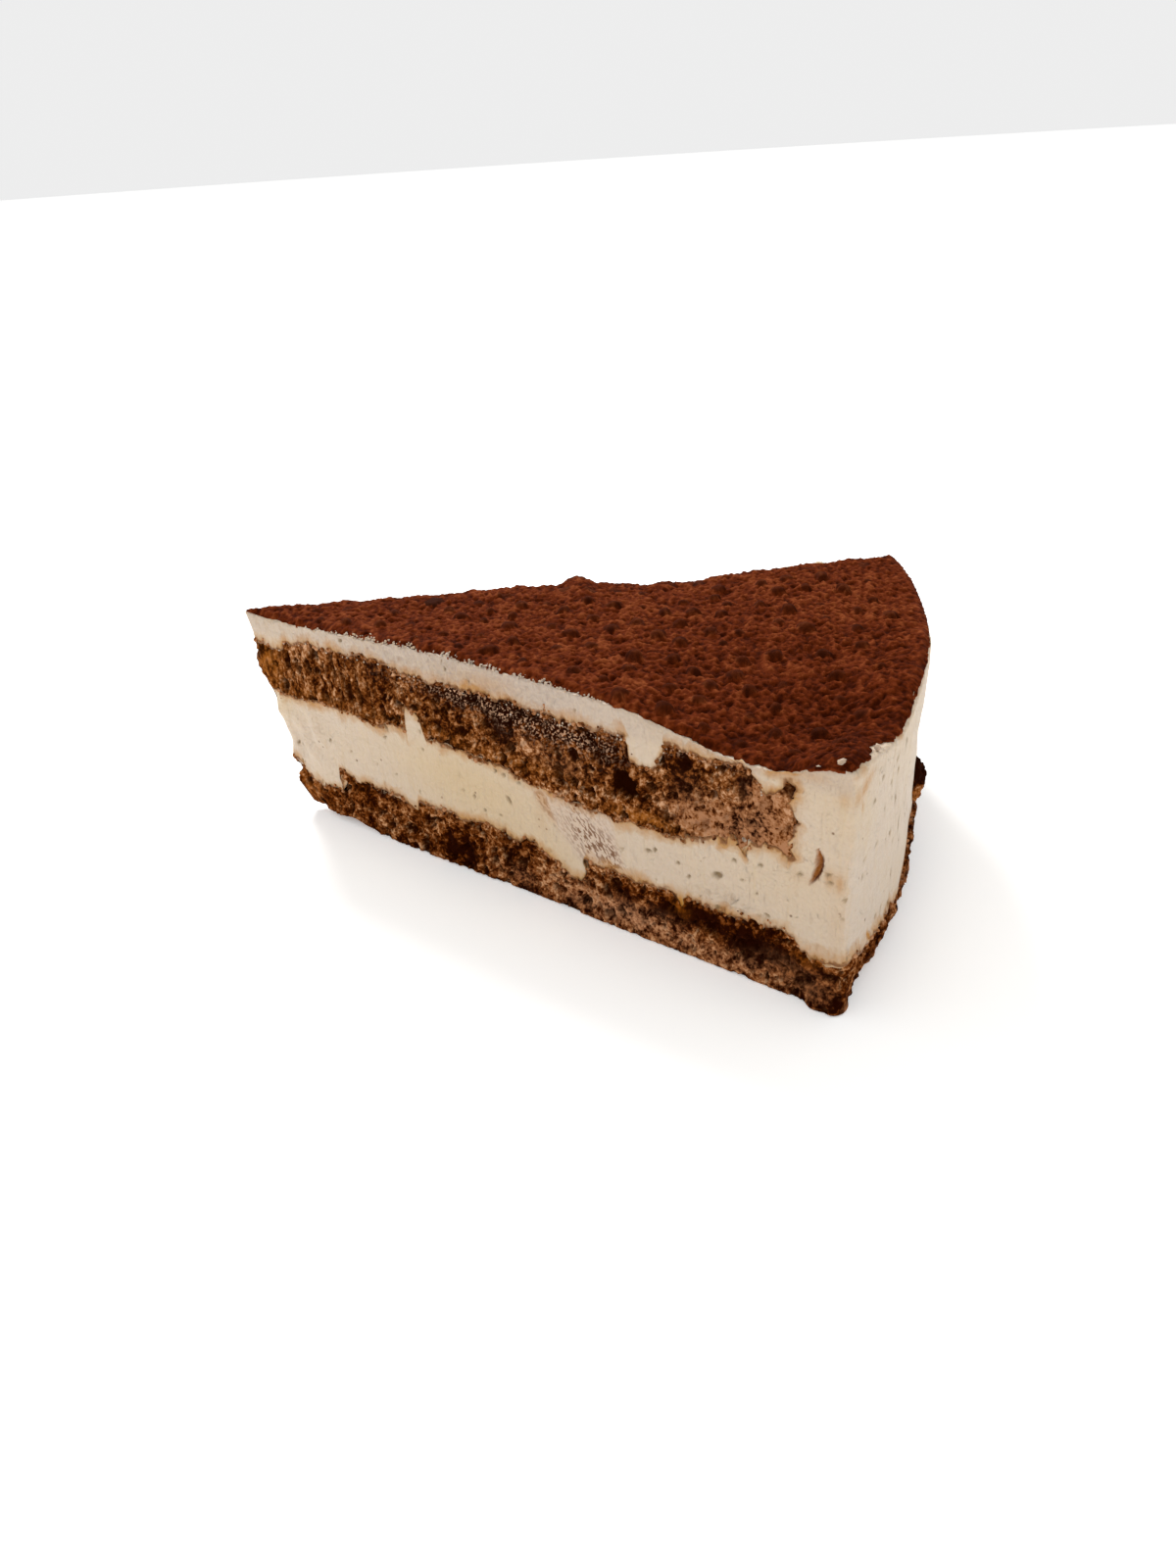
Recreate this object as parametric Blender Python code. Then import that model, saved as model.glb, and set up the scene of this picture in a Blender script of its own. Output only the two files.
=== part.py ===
# A wedge of layered tiramisu cake, cut from a round one and standing on its base.
# From the bottom up it has a coffee-soaked sponge base, mascarpone cream, a second sponge that
# the cream wraps at the rim, a thin top of cream, and a lumpy dusting of cocoa.
#
# The tip of the wedge points to -X and the round rim to +X. "Near" is the cut face on the -Y side
# and "far" the one on the +Y side. A place in plan is given by its distance from the tip and its
# turn across the wedge, from -1 (near) to 1 (far). Every layer boundary is a height over those
# two, so that the layers on its two sides share it.

import math
import random

import bmesh
import bpy
from mathutils import Vector, noise

MM = 0.001

# Driving sizes
CAKE_RADIUS = 120 * MM
WEDGE_ANGLE = math.radians(41.5)
BASE_LEVEL = 10.6 * MM  # top of the sponge base
UPPER_LOW_LEVEL = 24.5 * MM  # underside of the upper sponge
UPPER_HIGH_LEVEL = 35.4 * MM  # top of the upper sponge
CREAM_LEVEL = 39.3 * MM  # top of the cream
UPPER_SPONGE_RADIUS = 111 * MM  # the upper sponge stops short of the rim
GAP = 0.3 * MM  # clearance between neighbouring solids
COCOA_DEPTH = 0.9 * MM

# Meshing
TIP_CUT = 0.7 * MM  # cut off the sharp tip
STATION_COUNT = 25
TURNS = [-1 + 2 * i / 9 for i in range(10)]
COCOA_TURNS = [-1 + i / 9 for i in range(19)]
STEEP_LENGTH = 2  # a rise or fall shorter than this, in millimetres, gets stations of its own

# The tip leans back from top to bottom
TIP_LEAN = 5.2 * MM
# How the layers bulge and recede at the tip itself: (height, inward distance), in millimetres
TIP_SHAPE = [
    (0.0, 2.2), (2.0, 2.0), (6.0, 0.4), (8.0, 1.5), (11.0, 0.9), (15.0, 1.6), (20.0, 0.8),
    (24.5, 0.7), (27.3, 0.0), (30.0, -1.3), (32.7, -0.3), (35.4, 0.0),
]
TIP_SHAPE_REACH = 12 * MM
# Underside behind the tip, where the sponge crumbled: (distance, height), in millimetres
UNDERSIDE = [(6.0, 5.2), (7.5, 3.8), (9.5, 2.1), (12.0, 1.2), (16.0, 1.0), (22.0, 2.0), (27.0, 0.0)]

# Heights that differ from a level along a cut face, in millimetres:
# (start, end, length of the rise, length of the fall, height)
NEAR_BASE_TOP = [
    (5.0, 18.2, 4.5, 0.8, -3.6),  # hollow behind the tip
    (17.4, 23.0, 0.8, 5.0, 0.9),  # lip past the hollow
    (33.0, 38.6, 4.0, 0.7, -1.5),  # nick
    (58.0, 62.5, 2.5, 2.0, -1.0),
    (62.5, 75.2, 11.7, 0.8, -4.2),  # slanting run of cream
    (91.5, 93.9, 1.1, 1.1, -2.0),  # crack
    (112.5, 122.0, 3.5, 2.0, -1.0),  # cream drawn down at the corner
]
NEAR_UPPER_LOW = [
    (26.0, 33.5, 3.5, 3.0, -0.7),
    (33.5, 38.0, 2.5, 0.7, 0.9),
    (38.0, 42.2, 0.9, 0.9, 4.6),  # finger of cream standing up into the sponge
    (43.0, 109.0, 38.0, 18.0, -3.3),  # broad sag
    (97.0, 103.5, 2.5, 2.5, 1.0),
]
NEAR_UPPER_HIGH = [
    (3.0, 9.5, 2.2, 1.8, -1.9),  # cream pressed in behind the tip
    (9.0, 44.0, 6.0, 16.0, 0.6),
    (83.4, 91.0, 1.1, 2.4, -4.4),  # dip filled with cream
    (103.0, 108.5, 2.2, 2.2, -1.6),
]
NEAR_CREAM_TOP = [
    (0.0, 24.0, 3.0, 10.0, -0.4),
    (22.0, 88.0, 26.0, 26.0, 1.0),  # crown
    (80.0, 117.0, 22.0, 10.0, -2.9),  # sag before the rim
]
FAR_CREAM_TOP = [
    (52.0, 59.5, 3.5, 2.5, 1.0),  # peak
    (58.0, 104.0, 12.0, 26.0, -1.8),
]
# Low places along the rim: (turn, half of their width in turn, depth in millimetres)
RIM_DIPS = [(-0.62, 0.34, 2.0), (0.4, 0.3, 0.7)]
CORNER_LIP = 1.2 * MM  # rise of the cream at the near corner
RIM_DRAPE = 3.5 * MM  # how far the cream hangs down over the rim of the base, near the corner
# Slow unevenness of every boundary
WAVE_LENGTH = 22 * MM
WAVE_HEIGHT = 0.5 * MM
# Hollow in the far face: its distance, spread and depth
FAR_HOLLOW = (75 * MM, 14 * MM, 2.4 * MM)
KNIFE_WANDER = 0.5 * MM  # unevenness of both cut faces
CRUMB_RELIEF = 0.7 * MM  # and of the sponge in them

# Bare strip at the near corner of the rim, where the cocoa stops short
COCOA_INSET = 0.5 * MM
COCOA_CORNER_INSET = 3.6 * MM

# The rim of the base stands out past the cream, and its lower edge is worn back
BASE_PROUD = 0.7 * MM
BASE_UNDERCUT = 1.8 * MM

# Larger lumps of cocoa: some at set places in plan, with their radii, and the rest scattered
SET_LUMPS = [
    (34, 7, 2.0), (59, 5, 1.4), (73, 1, 1.4), (76, -13, 1.6), (92, -15, 1.4), (97, 10, 1.5),
    (61, 15, 1.3), (83, 21, 1.4), (53, -15, 1.4), (89, -19, 1.3), (46, 11, 1.3), (104, -6, 1.3),
]
LUMP_COUNT = 104
LUMP_RADIUS = (0.8 * MM, 1.5 * MM)
LUMP_SPACING = 4.6 * MM
LUMP_CLEARANCE = {-1: 2.2 * MM, 1: 4.6 * MM}  # from the near face and from the far one
LUMP_FOOT = 0.2 * MM  # height of a lump's underside in the dusting

# Holes in the near face: (node, distance, height, width, length, depth, lean in degrees)
HOLES = [
    ("sponge_upper", 83.4, 26.9, 3.9, 4.2, 2.0, 0),
    ("cream", 115.2, 23.6, 1.1, 6.2, 0.9, -12),
    ("cream", 99.6, 16.8, 1.8, 1.0, 0.5, 20),
]
# A crumb stuck to the rim: turn, height, how far it stands out, width and length
RIM_CRUMB = (-0.02, 19.5 * MM, 2.8 * MM, 5 * MM, 8.5 * MM)

HALF_ANGLE = WEDGE_ANGLE / 2
# From the tip to the origin, which is under the middle of the wedge and its crumb
ORIGIN = Vector((61.6 * MM, 0, 0))


def smooth(share):
    share = min(max(share, 0.0), 1.0)
    return share * share * (3 - 2 * share)


def profile(points, value):
    """Straight lines between the points, and level beyond the first and the last."""
    for (x0, y0), (x1, y1) in zip(points, points[1:]):
        if value <= x1:
            share = max((value - x0) / (x1 - x0), 0)
            return y0 + (y1 - y0) * share
    return points[-1][1]


def tip_back(z):
    return TIP_LEAN * (1 - z / CREAM_LEVEL)


def along_face(distance, z):
    """Distance along the cut face from where the tip would be if it didn't lean."""
    return tip_back(z) + distance * (1 - tip_back(z) / CAKE_RADIUS)


def relief(features, place):
    """Sum of the soft-edged steps in features at a place along a cut face."""
    total = 0
    for start, end, rise, fall, amount in features:
        total += amount * smooth((place / MM - start) / rise) * smooth((end - place / MM) / fall)
    return total * MM


def random_features(seed, count, size):
    """Nicks and humps for the far cut face."""
    draw = random.Random(seed)
    made = []
    for i in range(count):
        start = 14 + 92 * (i + draw.uniform(0.1, 0.7)) / count
        end = start + draw.uniform(5, 10)
        made.append((start, end, draw.uniform(2, 4), draw.uniform(2, 4), draw.choice((-1, 0.7)) * size))
    return made


FAR_BASE_TOP = random_features(3, 7, 1.7)
FAR_UPPER_LOW = random_features(5, 6, 1.8)
FAR_UPPER_HIGH = random_features(8, 6, 1.5)


def height(level, near, far, seed, distance, turn):
    """Height of a layer boundary: its level, what differs at the cut faces, and a slow wave."""
    place = along_face(distance, level)
    across = turn * HALF_ANGLE * distance
    wave = noise.noise(Vector((distance / WAVE_LENGTH, across / WAVE_LENGTH, seed)))
    near_part = relief(near, place) * smooth((0.15 - turn) / 1.15)
    far_part = relief(far, place) * smooth((turn - 0.1) / 0.9)
    return level + near_part + far_part + WAVE_HEIGHT * wave


def underside(distance, turn):
    return profile(UNDERSIDE, along_face(distance, 0) / MM) * MM


def base_top(distance, turn):
    drape = RIM_DRAPE * smooth((distance - 113 * MM) / (6 * MM)) * smooth((0.1 - turn) / 0.6)
    return height(BASE_LEVEL, NEAR_BASE_TOP, FAR_BASE_TOP, 2.0, distance, turn) - drape


def upper_low(distance, turn):
    return height(UPPER_LOW_LEVEL, NEAR_UPPER_LOW, FAR_UPPER_LOW, 5.0, distance, turn)


def upper_high(distance, turn):
    return height(UPPER_HIGH_LEVEL, NEAR_UPPER_HIGH, FAR_UPPER_HIGH, 9.0, distance, turn)


def cream_top(distance, turn):
    top = height(CREAM_LEVEL, NEAR_CREAM_TOP, FAR_CREAM_TOP, 14.0, distance, turn)
    edge = smooth((distance - 98 * MM) / (20 * MM))
    for middle, half_width, depth in RIM_DIPS:
        top -= depth * MM * edge * smooth(1 - abs(turn - middle) / half_width)
    lip = CORNER_LIP * smooth((distance - 114 * MM) / (5 * MM)) * smooth((-turn - 0.75) / 0.25)
    return top + lip


def side_way(turn):
    """Straight out of the cut face on that side."""
    return Vector((-math.sin(HALF_ANGLE), math.copysign(math.cos(HALF_ANGLE), turn), 0))


def rim_way(turn):
    return Vector((math.cos(turn * HALF_ANGLE), math.sin(turn * HALF_ANGLE), 0))


def plan_point(distance, turn, z):
    """The point at height z. The cut faces wander a little, alike for all the layers."""
    tip = rim_way(-1) * tip_back(z)
    point = tip + (CAKE_RADIUS * rim_way(turn) - tip) * distance / CAKE_RADIUS
    point.x += profile(TIP_SHAPE, z / MM) * MM * (1 - smooth(distance / TIP_SHAPE_REACH))
    point.z = z
    if abs(turn) == 1:
        wander = noise.noise(Vector((point.x / (24 * MM), 3 * turn, z / (40 * MM))))
        point += side_way(turn) * KNIFE_WANDER * wander
    if turn == 1:
        middle, spread, depth = FAR_HOLLOW
        point -= side_way(turn) * depth * math.exp(-(((point.x - middle) / spread) ** 2))
    return point - ORIGIN


def rows_between(low, high, low_shift, high_shift, count):
    """Rows of a layer from one boundary up to another: each boundary is shifted up a little."""
    shares = [i / count for i in range(count + 1)]
    return [(low, high, share, low_shift + share * (high_shift - low_shift)) for share in shares]


def on_row(distance, turn, row):
    low, high, share, _ = row
    z = low(distance, turn) + share * (high(distance, turn) - low(distance, turn))
    return plan_point(distance, turn, z)


def on_rough_row(distance, turn, row):
    """The same, with the rough faces of cut sponge."""
    point = on_row(distance, turn, row)
    rough = CRUMB_RELIEF * noise.noise(point / (3.1 * MM)) * (1 - abs(2 * row[2] - 1) ** 4)
    if abs(turn) == 1:
        point += side_way(turn) * rough
    if distance >= CAKE_RADIUS:
        point += rim_way(turn) * rough
    return point


def steep_stations(level, features):
    """Distances of both ends of every steep rise and fall."""
    places = []
    for start, end, rise, fall, _ in features:
        places += [start, start + rise] if rise < STEEP_LENGTH else []
        places += [end - fall, end] if fall < STEEP_LENGTH else []
    back = tip_back(level)
    return [(place * MM - back) / (1 - back / CAKE_RADIUS) for place in places]


def merged(even, steep):
    """The steep stations, and the even ones that aren't close to any of them."""
    found = []
    for distance in sorted(steep):
        if not found or distance - found[-1] > 0.4 * MM:
            found.append(distance)
    for distance in even:
        clear = all(abs(distance - other) > 1.3 * MM for other in found)
        if clear or distance in (even[0], even[-1]):
            found.append(distance)
    return sorted(found)


POCKET_RADIUS = UPPER_SPONGE_RADIUS + GAP
STATION_STEP = (CAKE_RADIUS - TIP_CUT) / (STATION_COUNT - 1)
EVEN_STATIONS = [TIP_CUT + i * STATION_STEP for i in range(STATION_COUNT - 1)] + [CAKE_RADIUS]
STEEP_STATIONS = [
    *steep_stations(BASE_LEVEL, NEAR_BASE_TOP),
    *steep_stations(UPPER_LOW_LEVEL, NEAR_UPPER_LOW),
    *steep_stations(UPPER_HIGH_LEVEL, NEAR_UPPER_HIGH),
    POCKET_RADIUS,
]
STATIONS = merged(EVEN_STATIONS, STEEP_STATIONS)
UPPER_STATIONS = [d for d in STATIONS if d < UPPER_SPONGE_RADIUS] + [UPPER_SPONGE_RADIUS]
COCOA_STATIONS = [TIP_CUT + COCOA_INSET] + EVEN_STATIONS[1:]


def layer(name, distances, turns, rows, place, opening=lambda distance, row: False):
    """A sheet of cells, less those in the opening, extruded from each turn to the next.
    Each corner then goes to place(distance, turn, row). The rows are shifted up only after
    the faces are split in triangles, so two layers split their shared boundary alike."""
    mesh = bmesh.new()
    across, up = len(distances) - 1, len(rows) - 1
    bmesh.ops.create_grid(mesh, x_segments=across, y_segments=up, size=0.5)
    for vertex in mesh.verts:
        vertex.co = (round((vertex.co.x + 0.5) * across), round((vertex.co.y + 0.5) * up), 0)
    open_cells = []
    for cell in mesh.faces:
        middle = cell.calc_center_median()
        if opening(distances[math.ceil(middle.x)], math.floor(middle.y)):
            open_cells.append(cell)
    bmesh.ops.delete(mesh, geom=open_cells, context="FACES")
    first = front = mesh.faces[:]
    for _ in turns[1:]:
        made = bmesh.ops.extrude_face_region(mesh, geom=front, use_keep_orig=True)["geom"]
        if front is not first:
            bmesh.ops.delete(mesh, geom=front, context="FACES")
        front = [item for item in made if isinstance(item, bmesh.types.BMFace)]
        moved = [item for item in made if isinstance(item, bmesh.types.BMVert)]
        bmesh.ops.translate(mesh, verts=moved, vec=(0, 0, 1))
    shifts = []
    for vertex in mesh.verts:
        i, j, k = (round(c) for c in vertex.co)
        vertex.co = place(distances[i], turns[k], rows[j])
        shifts.append((vertex, rows[j][3]))
    bmesh.ops.triangulate(mesh, faces=mesh.faces, quad_method="SHORT_EDGE")
    for vertex, shift in shifts:
        vertex.co.z += shift
    bmesh.ops.recalc_face_normals(mesh, faces=mesh.faces)
    return finished(name, mesh)


def finished(name, mesh):
    made = bpy.data.objects.new(name, bpy.data.meshes.new(name))
    mesh.to_mesh(made.data)
    mesh.free()
    return made


def flatten_underside(solid):
    """One flat face in place of the grid that lies on the ground."""
    mesh = bmesh.new()
    mesh.from_mesh(solid.data)
    flat = [face for face in mesh.faces if all(vertex.co.z < 1e-6 for vertex in face.verts)]
    edges = list({edge for face in flat for edge in face.edges})
    inner = list({vertex for face in flat for vertex in face.verts})
    bmesh.ops.dissolve_limit(mesh, angle_limit=0.001, verts=inner, edges=edges)
    bmesh.ops.triangulate(mesh, faces=[face for face in mesh.faces if len(face.verts) > 3])
    mesh.to_mesh(solid.data)
    mesh.free()


def sponge_base():
    def place(distance, turn, row):
        point = on_rough_row(distance, turn, row)
        if distance >= CAKE_RADIUS:
            point += rim_way(turn) * BASE_PROUD * smooth((1 - row[2]) / 0.25)
            point -= rim_way(turn) * BASE_UNDERCUT * smooth(1 - row[2] / 0.4)
        return point

    rows = rows_between(underside, base_top, 0, -GAP / 2, 4)
    made = layer("sponge_base", STATIONS, TURNS, rows, place)
    flatten_underside(made)
    return made


def sponge_upper():
    rows = rows_between(upper_low, upper_high, GAP / 2, -GAP / 2, 4)
    return layer("sponge_upper", UPPER_STATIONS, TURNS, rows, on_rough_row)


def cream():
    """One mass: the middle layer, the top layer and the rim that joins them round the sponge."""
    middle_rows = rows_between(base_top, upper_low, GAP / 2, -GAP / 2, 2)
    top_rows = rows_between(upper_high, cream_top, GAP / 2, -GAP / 2, 1)

    def sponge_room(distance, row):
        return row == len(middle_rows) - 1 and distance <= POCKET_RADIUS

    return layer("cream", STATIONS, TURNS, middle_rows + top_rows, on_row, sponge_room)


def on_cream_mesh(distance, turn):
    """Top of the cream as its mesh has it, straight from one station or turn to the next."""

    def bracket(grid, value):
        i = max(j for j in range(len(grid) - 1) if j == 0 or grid[j] <= value + 1e-9)
        return i, min((value - grid[i]) / (grid[i + 1] - grid[i]), 1)

    i, u = bracket(STATIONS, distance)
    j, v = bracket(TURNS, turn)
    corners = [cream_top(STATIONS[i + a], TURNS[j + b]) for a in (0, 1) for b in (0, 1)]
    near_side = corners[0] + (corners[2] - corners[0]) * u
    far_side = corners[1] + (corners[3] - corners[1]) * u
    return near_side + (far_side - near_side) * v


def cocoa_slab():
    def place(distance, turn, row):
        corner = smooth((-turn - 0.3) / 0.6)
        inset = COCOA_INSET + (COCOA_CORNER_INSET - COCOA_INSET) * corner
        distance -= inset * smooth((distance - 92 * MM) / (28 * MM))
        point = plan_point(distance, turn, on_cream_mesh(distance, turn))
        edge = abs(turn) == 1 or distance > CAKE_RADIUS - inset - 1e-6
        point -= side_way(turn) * abs(turn) * min(COCOA_INSET, 0.4 * HALF_ANGLE * distance)
        rough = 0.4 * noise.noise(point / (4 * MM)) + 0.3 * noise.noise(point / (9 * MM))
        point.z += row[2] * COCOA_DEPTH * (0.6 if edge else 1 + rough)
        return point

    rows = rows_between(cream_top, cream_top, GAP, GAP, 1)
    return layer("cocoa", COCOA_STATIONS, COCOA_TURNS, rows, place)


def lump_places():
    """Places in plan and radii of the lumps, none nearer to another than LUMP_SPACING."""
    draw = random.Random(11)
    found = [(Vector((x, y, 0)) * MM, radius * MM) for x, y, radius in SET_LUMPS]
    while len(found) < LUMP_COUNT:
        point = CAKE_RADIUS * 0.95 * math.sqrt(draw.random()) * rim_way(draw.uniform(-0.95, 0.95))
        clear = all(side_way(side).dot(point) < -room for side, room in LUMP_CLEARANCE.items())
        if clear and all((point - other).length > LUMP_SPACING for other, _ in found):
            found.append((point, draw.uniform(*LUMP_RADIUS)))
    return found


def cocoa_lumps(collection):
    draw = random.Random(12)
    for point, radius in lump_places():
        flatness = draw.uniform(0.5, 0.65)
        mesh = bmesh.new()
        bmesh.ops.create_icosphere(mesh, subdivisions=1, radius=radius)
        bmesh.ops.scale(mesh, verts=mesh.verts, vec=(1, draw.uniform(0.75, 1), flatness))
        lump = finished("lump", mesh)
        turn = math.atan2(point.y, point.x) / HALF_ANGLE
        point.z = on_cream_mesh(point.length, turn) + GAP + LUMP_FOOT + radius * flatness
        lump.location = point - ORIGIN
        lump.rotation_euler.z = draw.uniform(0, math.pi)
        collection.objects.link(lump)


def hole_cutter(distance, z, width, length, depth, lean):
    """A long bead lying in the near face, as deep as it reaches into it."""
    mesh = bmesh.new()
    bmesh.ops.create_icosphere(mesh, subdivisions=2, radius=0.5)
    bmesh.ops.scale(mesh, verts=mesh.verts, vec=(width * MM, 2 * depth * MM, length * MM))
    cutter = finished("hole_cutter", mesh)
    cutter.location = rim_way(-1) * distance * MM + Vector((0, 0, z * MM)) - ORIGIN
    cutter.rotation_euler = (0, math.radians(lean), -HALF_ANGLE)
    return cutter


def rim_crumb():
    turn, z, proud, width, length = RIM_CRUMB
    mesh = bmesh.new()
    bmesh.ops.create_icosphere(mesh, subdivisions=2, radius=0.5)
    for vertex in mesh.verts:
        vertex.co *= 1 + 0.35 * noise.noise(vertex.co * 4)
    bmesh.ops.scale(mesh, verts=mesh.verts, vec=(2 * proud, width, length))
    crumb = finished("rim_crumb", mesh)
    crumb.location = CAKE_RADIUS * rim_way(turn) + Vector((0, 0, z)) - ORIGIN
    return crumb


def apply_boolean(target, operation, helpers):
    """Cuts or joins all the helpers at once through a collection, then removes them."""
    collection = bpy.data.collections.new("helpers")
    bpy.context.scene.collection.children.link(collection)
    for helper in helpers:
        helper.hide_render = True
        helper.display_type = "WIRE"
        collection.objects.link(helper)
    modifier = target.modifiers.new("solid", "BOOLEAN")
    modifier.operation = operation
    modifier.operand_type = "COLLECTION"
    modifier.collection = collection
    modifier.solver = "EXACT"
    graph = bpy.context.evaluated_depsgraph_get()
    result = bpy.data.meshes.new_from_object(target.evaluated_get(graph))
    target.modifiers.clear()
    target.data = result
    for helper in helpers:
        bpy.data.objects.remove(helper)
    bpy.data.collections.remove(collection)


def material(name, colour, roughness):
    made = bpy.data.materials.new(name)
    made.use_nodes = True
    shader = made.node_tree.nodes["Principled BSDF"]
    shader.inputs["Base Color"].default_value = (*colour, 1)
    shader.inputs["Roughness"].default_value = roughness
    return made


FINISHES = {
    "sponge_base": ("soaked_sponge", (0.1, 0.035, 0.012), 0.75),
    "cream": ("mascarpone_cream", (0.62, 0.5, 0.37), 0.45),
    "sponge_upper": ("coffee_sponge", (0.15, 0.06, 0.022), 0.8),
    "cocoa": ("cocoa_powder", (0.085, 0.02, 0.007), 0.95),
}


def build():
    for old in list(bpy.data.objects):
        bpy.data.objects.remove(old)
    wedge = bpy.data.collections.new("tiramisu")
    bpy.context.scene.collection.children.link(wedge)

    solids = {made.name: made for made in (sponge_base(), cream(), sponge_upper(), cocoa_slab())}
    for name, solid in solids.items():
        wedge.objects.link(solid)
        solid.data.materials.append(material(*FINISHES[name]))

    apply_boolean(solids["cream"], "UNION", [rim_crumb()])
    for name in ("cream", "sponge_upper"):
        cutters = [hole_cutter(*hole[1:]) for hole in HOLES if hole[0] == name]
        apply_boolean(solids[name], "DIFFERENCE", cutters)

    lumps = bpy.data.collections.new("lumps")
    cocoa_lumps(lumps)
    apply_boolean(solids["cocoa"], "UNION", list(lumps.objects))
    bpy.data.collections.remove(lumps)


build()
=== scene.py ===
# A wedge of tiramisu cake: coffee-soaked sponge, mascarpone cream and a cocoa dusting.
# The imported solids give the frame. Each layer is rebuilt here as one closed skin whose cut
# faces carry the crumb, pores, ragged edges and knife marks, and then gets its material.

import math
import random

import bmesh
import bpy
import numpy as np
from mathutils import Matrix, Vector, noise


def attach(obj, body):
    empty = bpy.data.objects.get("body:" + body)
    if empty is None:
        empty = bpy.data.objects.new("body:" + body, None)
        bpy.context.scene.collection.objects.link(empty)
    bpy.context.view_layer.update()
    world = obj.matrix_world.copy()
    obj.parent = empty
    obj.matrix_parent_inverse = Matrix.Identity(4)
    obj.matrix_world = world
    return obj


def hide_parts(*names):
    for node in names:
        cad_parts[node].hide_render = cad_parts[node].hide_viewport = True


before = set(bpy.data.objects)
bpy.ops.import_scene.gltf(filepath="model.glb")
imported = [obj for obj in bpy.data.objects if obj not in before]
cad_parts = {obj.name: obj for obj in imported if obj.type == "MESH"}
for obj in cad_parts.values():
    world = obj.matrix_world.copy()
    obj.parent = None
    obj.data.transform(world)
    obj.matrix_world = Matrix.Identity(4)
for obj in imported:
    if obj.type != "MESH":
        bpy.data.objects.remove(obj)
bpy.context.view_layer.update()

mm = 0.001
print("frame loaded:", ", ".join(sorted(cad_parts)))

# Camera, where the photograph was taken from
cameraView = {
    "place": (57.1, -174.0, 111.7),  # mm
    "yaw": 17.768,  # degrees, to the left of +Y
    "pitch": -29.256,
    "roll": -3.771,
    "lens": 26.66,  # mm on a 36 mm sensor
}


def makeCamera(view):
    data = bpy.data.cameras.new("camera")
    data.lens = view["lens"]
    data.sensor_width = 36
    data.clip_start, data.clip_end = 0.01, 20
    camera = bpy.data.objects.new("camera", data)
    turned = Matrix.Rotation(math.radians(view["yaw"]), 4, "Z")
    turned @= Matrix.Rotation(math.radians(90 + view["pitch"]), 4, "X")
    turned @= Matrix.Rotation(math.radians(view["roll"]), 4, "Z")
    camera.matrix_world = Matrix.Translation(Vector(view["place"]) * mm) @ turned
    bpy.context.scene.collection.objects.link(camera)
    bpy.context.scene.camera = camera


makeCamera(cameraView)


# Colours are written as the sRGB that a user picks, and Blender works in linear
def hexToLinear(code):
    channels = [int(code[i:i + 2], 16) / 255 for i in (1, 3, 5)]
    linear = [c / 12.92 if c <= 0.04045 else ((c + 0.055) / 1.055) ** 2.4 for c in channels]
    return (*linear, 1)


# Adds one node and gives its output: inputs are values or sockets to link from, stops are those
# of a colour ramp, and the rest are its settings
def addNode(tree, kind, inputs=None, stops=(), output=None, **settings):
    node = tree.nodes.new("ShaderNode" + kind)
    for name, value in settings.items():
        setattr(node, name, value)
    for name, value in (inputs or {}).items():
        if isinstance(value, bpy.types.NodeSocket):
            tree.links.new(value, node.inputs[name])
        else:
            node.inputs[name].default_value = value
    for place, code in stops:
        elements = node.color_ramp.elements
        edge = next((e for e in elements if abs(e.position - place) < 1e-4), None)
        (edge or elements.new(place)).color = hexToLinear(code)
    return node.outputs[output] if output else next(o for o in node.outputs if o.enabled)


# Starts a material with the settings of its shader. What it reads comes back by name: the
# coordinates, the marks of the mesh, and the noise patterns, given as size in mm, detail and
# roughness
def newMaterial(name, settings, marks=(), patterns=None):
    made = bpy.data.materials.new(name)
    made.use_nodes = True
    tree = made.node_tree
    shader = tree.nodes["Principled BSDF"]
    for socket, value in settings.items():
        shader.inputs[socket].default_value = value
    coords = addNode(tree, "TexCoord", output="Object")
    read = {"coords": coords}
    for mark in marks:
        read[mark] = addNode(tree, "Attribute", output="Fac", attribute_name=mark)
    for pattern, (size, detail, roughness) in (patterns or {}).items():
        inputs = {"Vector": coords, "Scale": 1 / (size * mm), "Detail": detail, "Roughness": roughness}
        read[pattern] = addNode(tree, "TexNoise", inputs)
    return made, tree, shader, read


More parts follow.
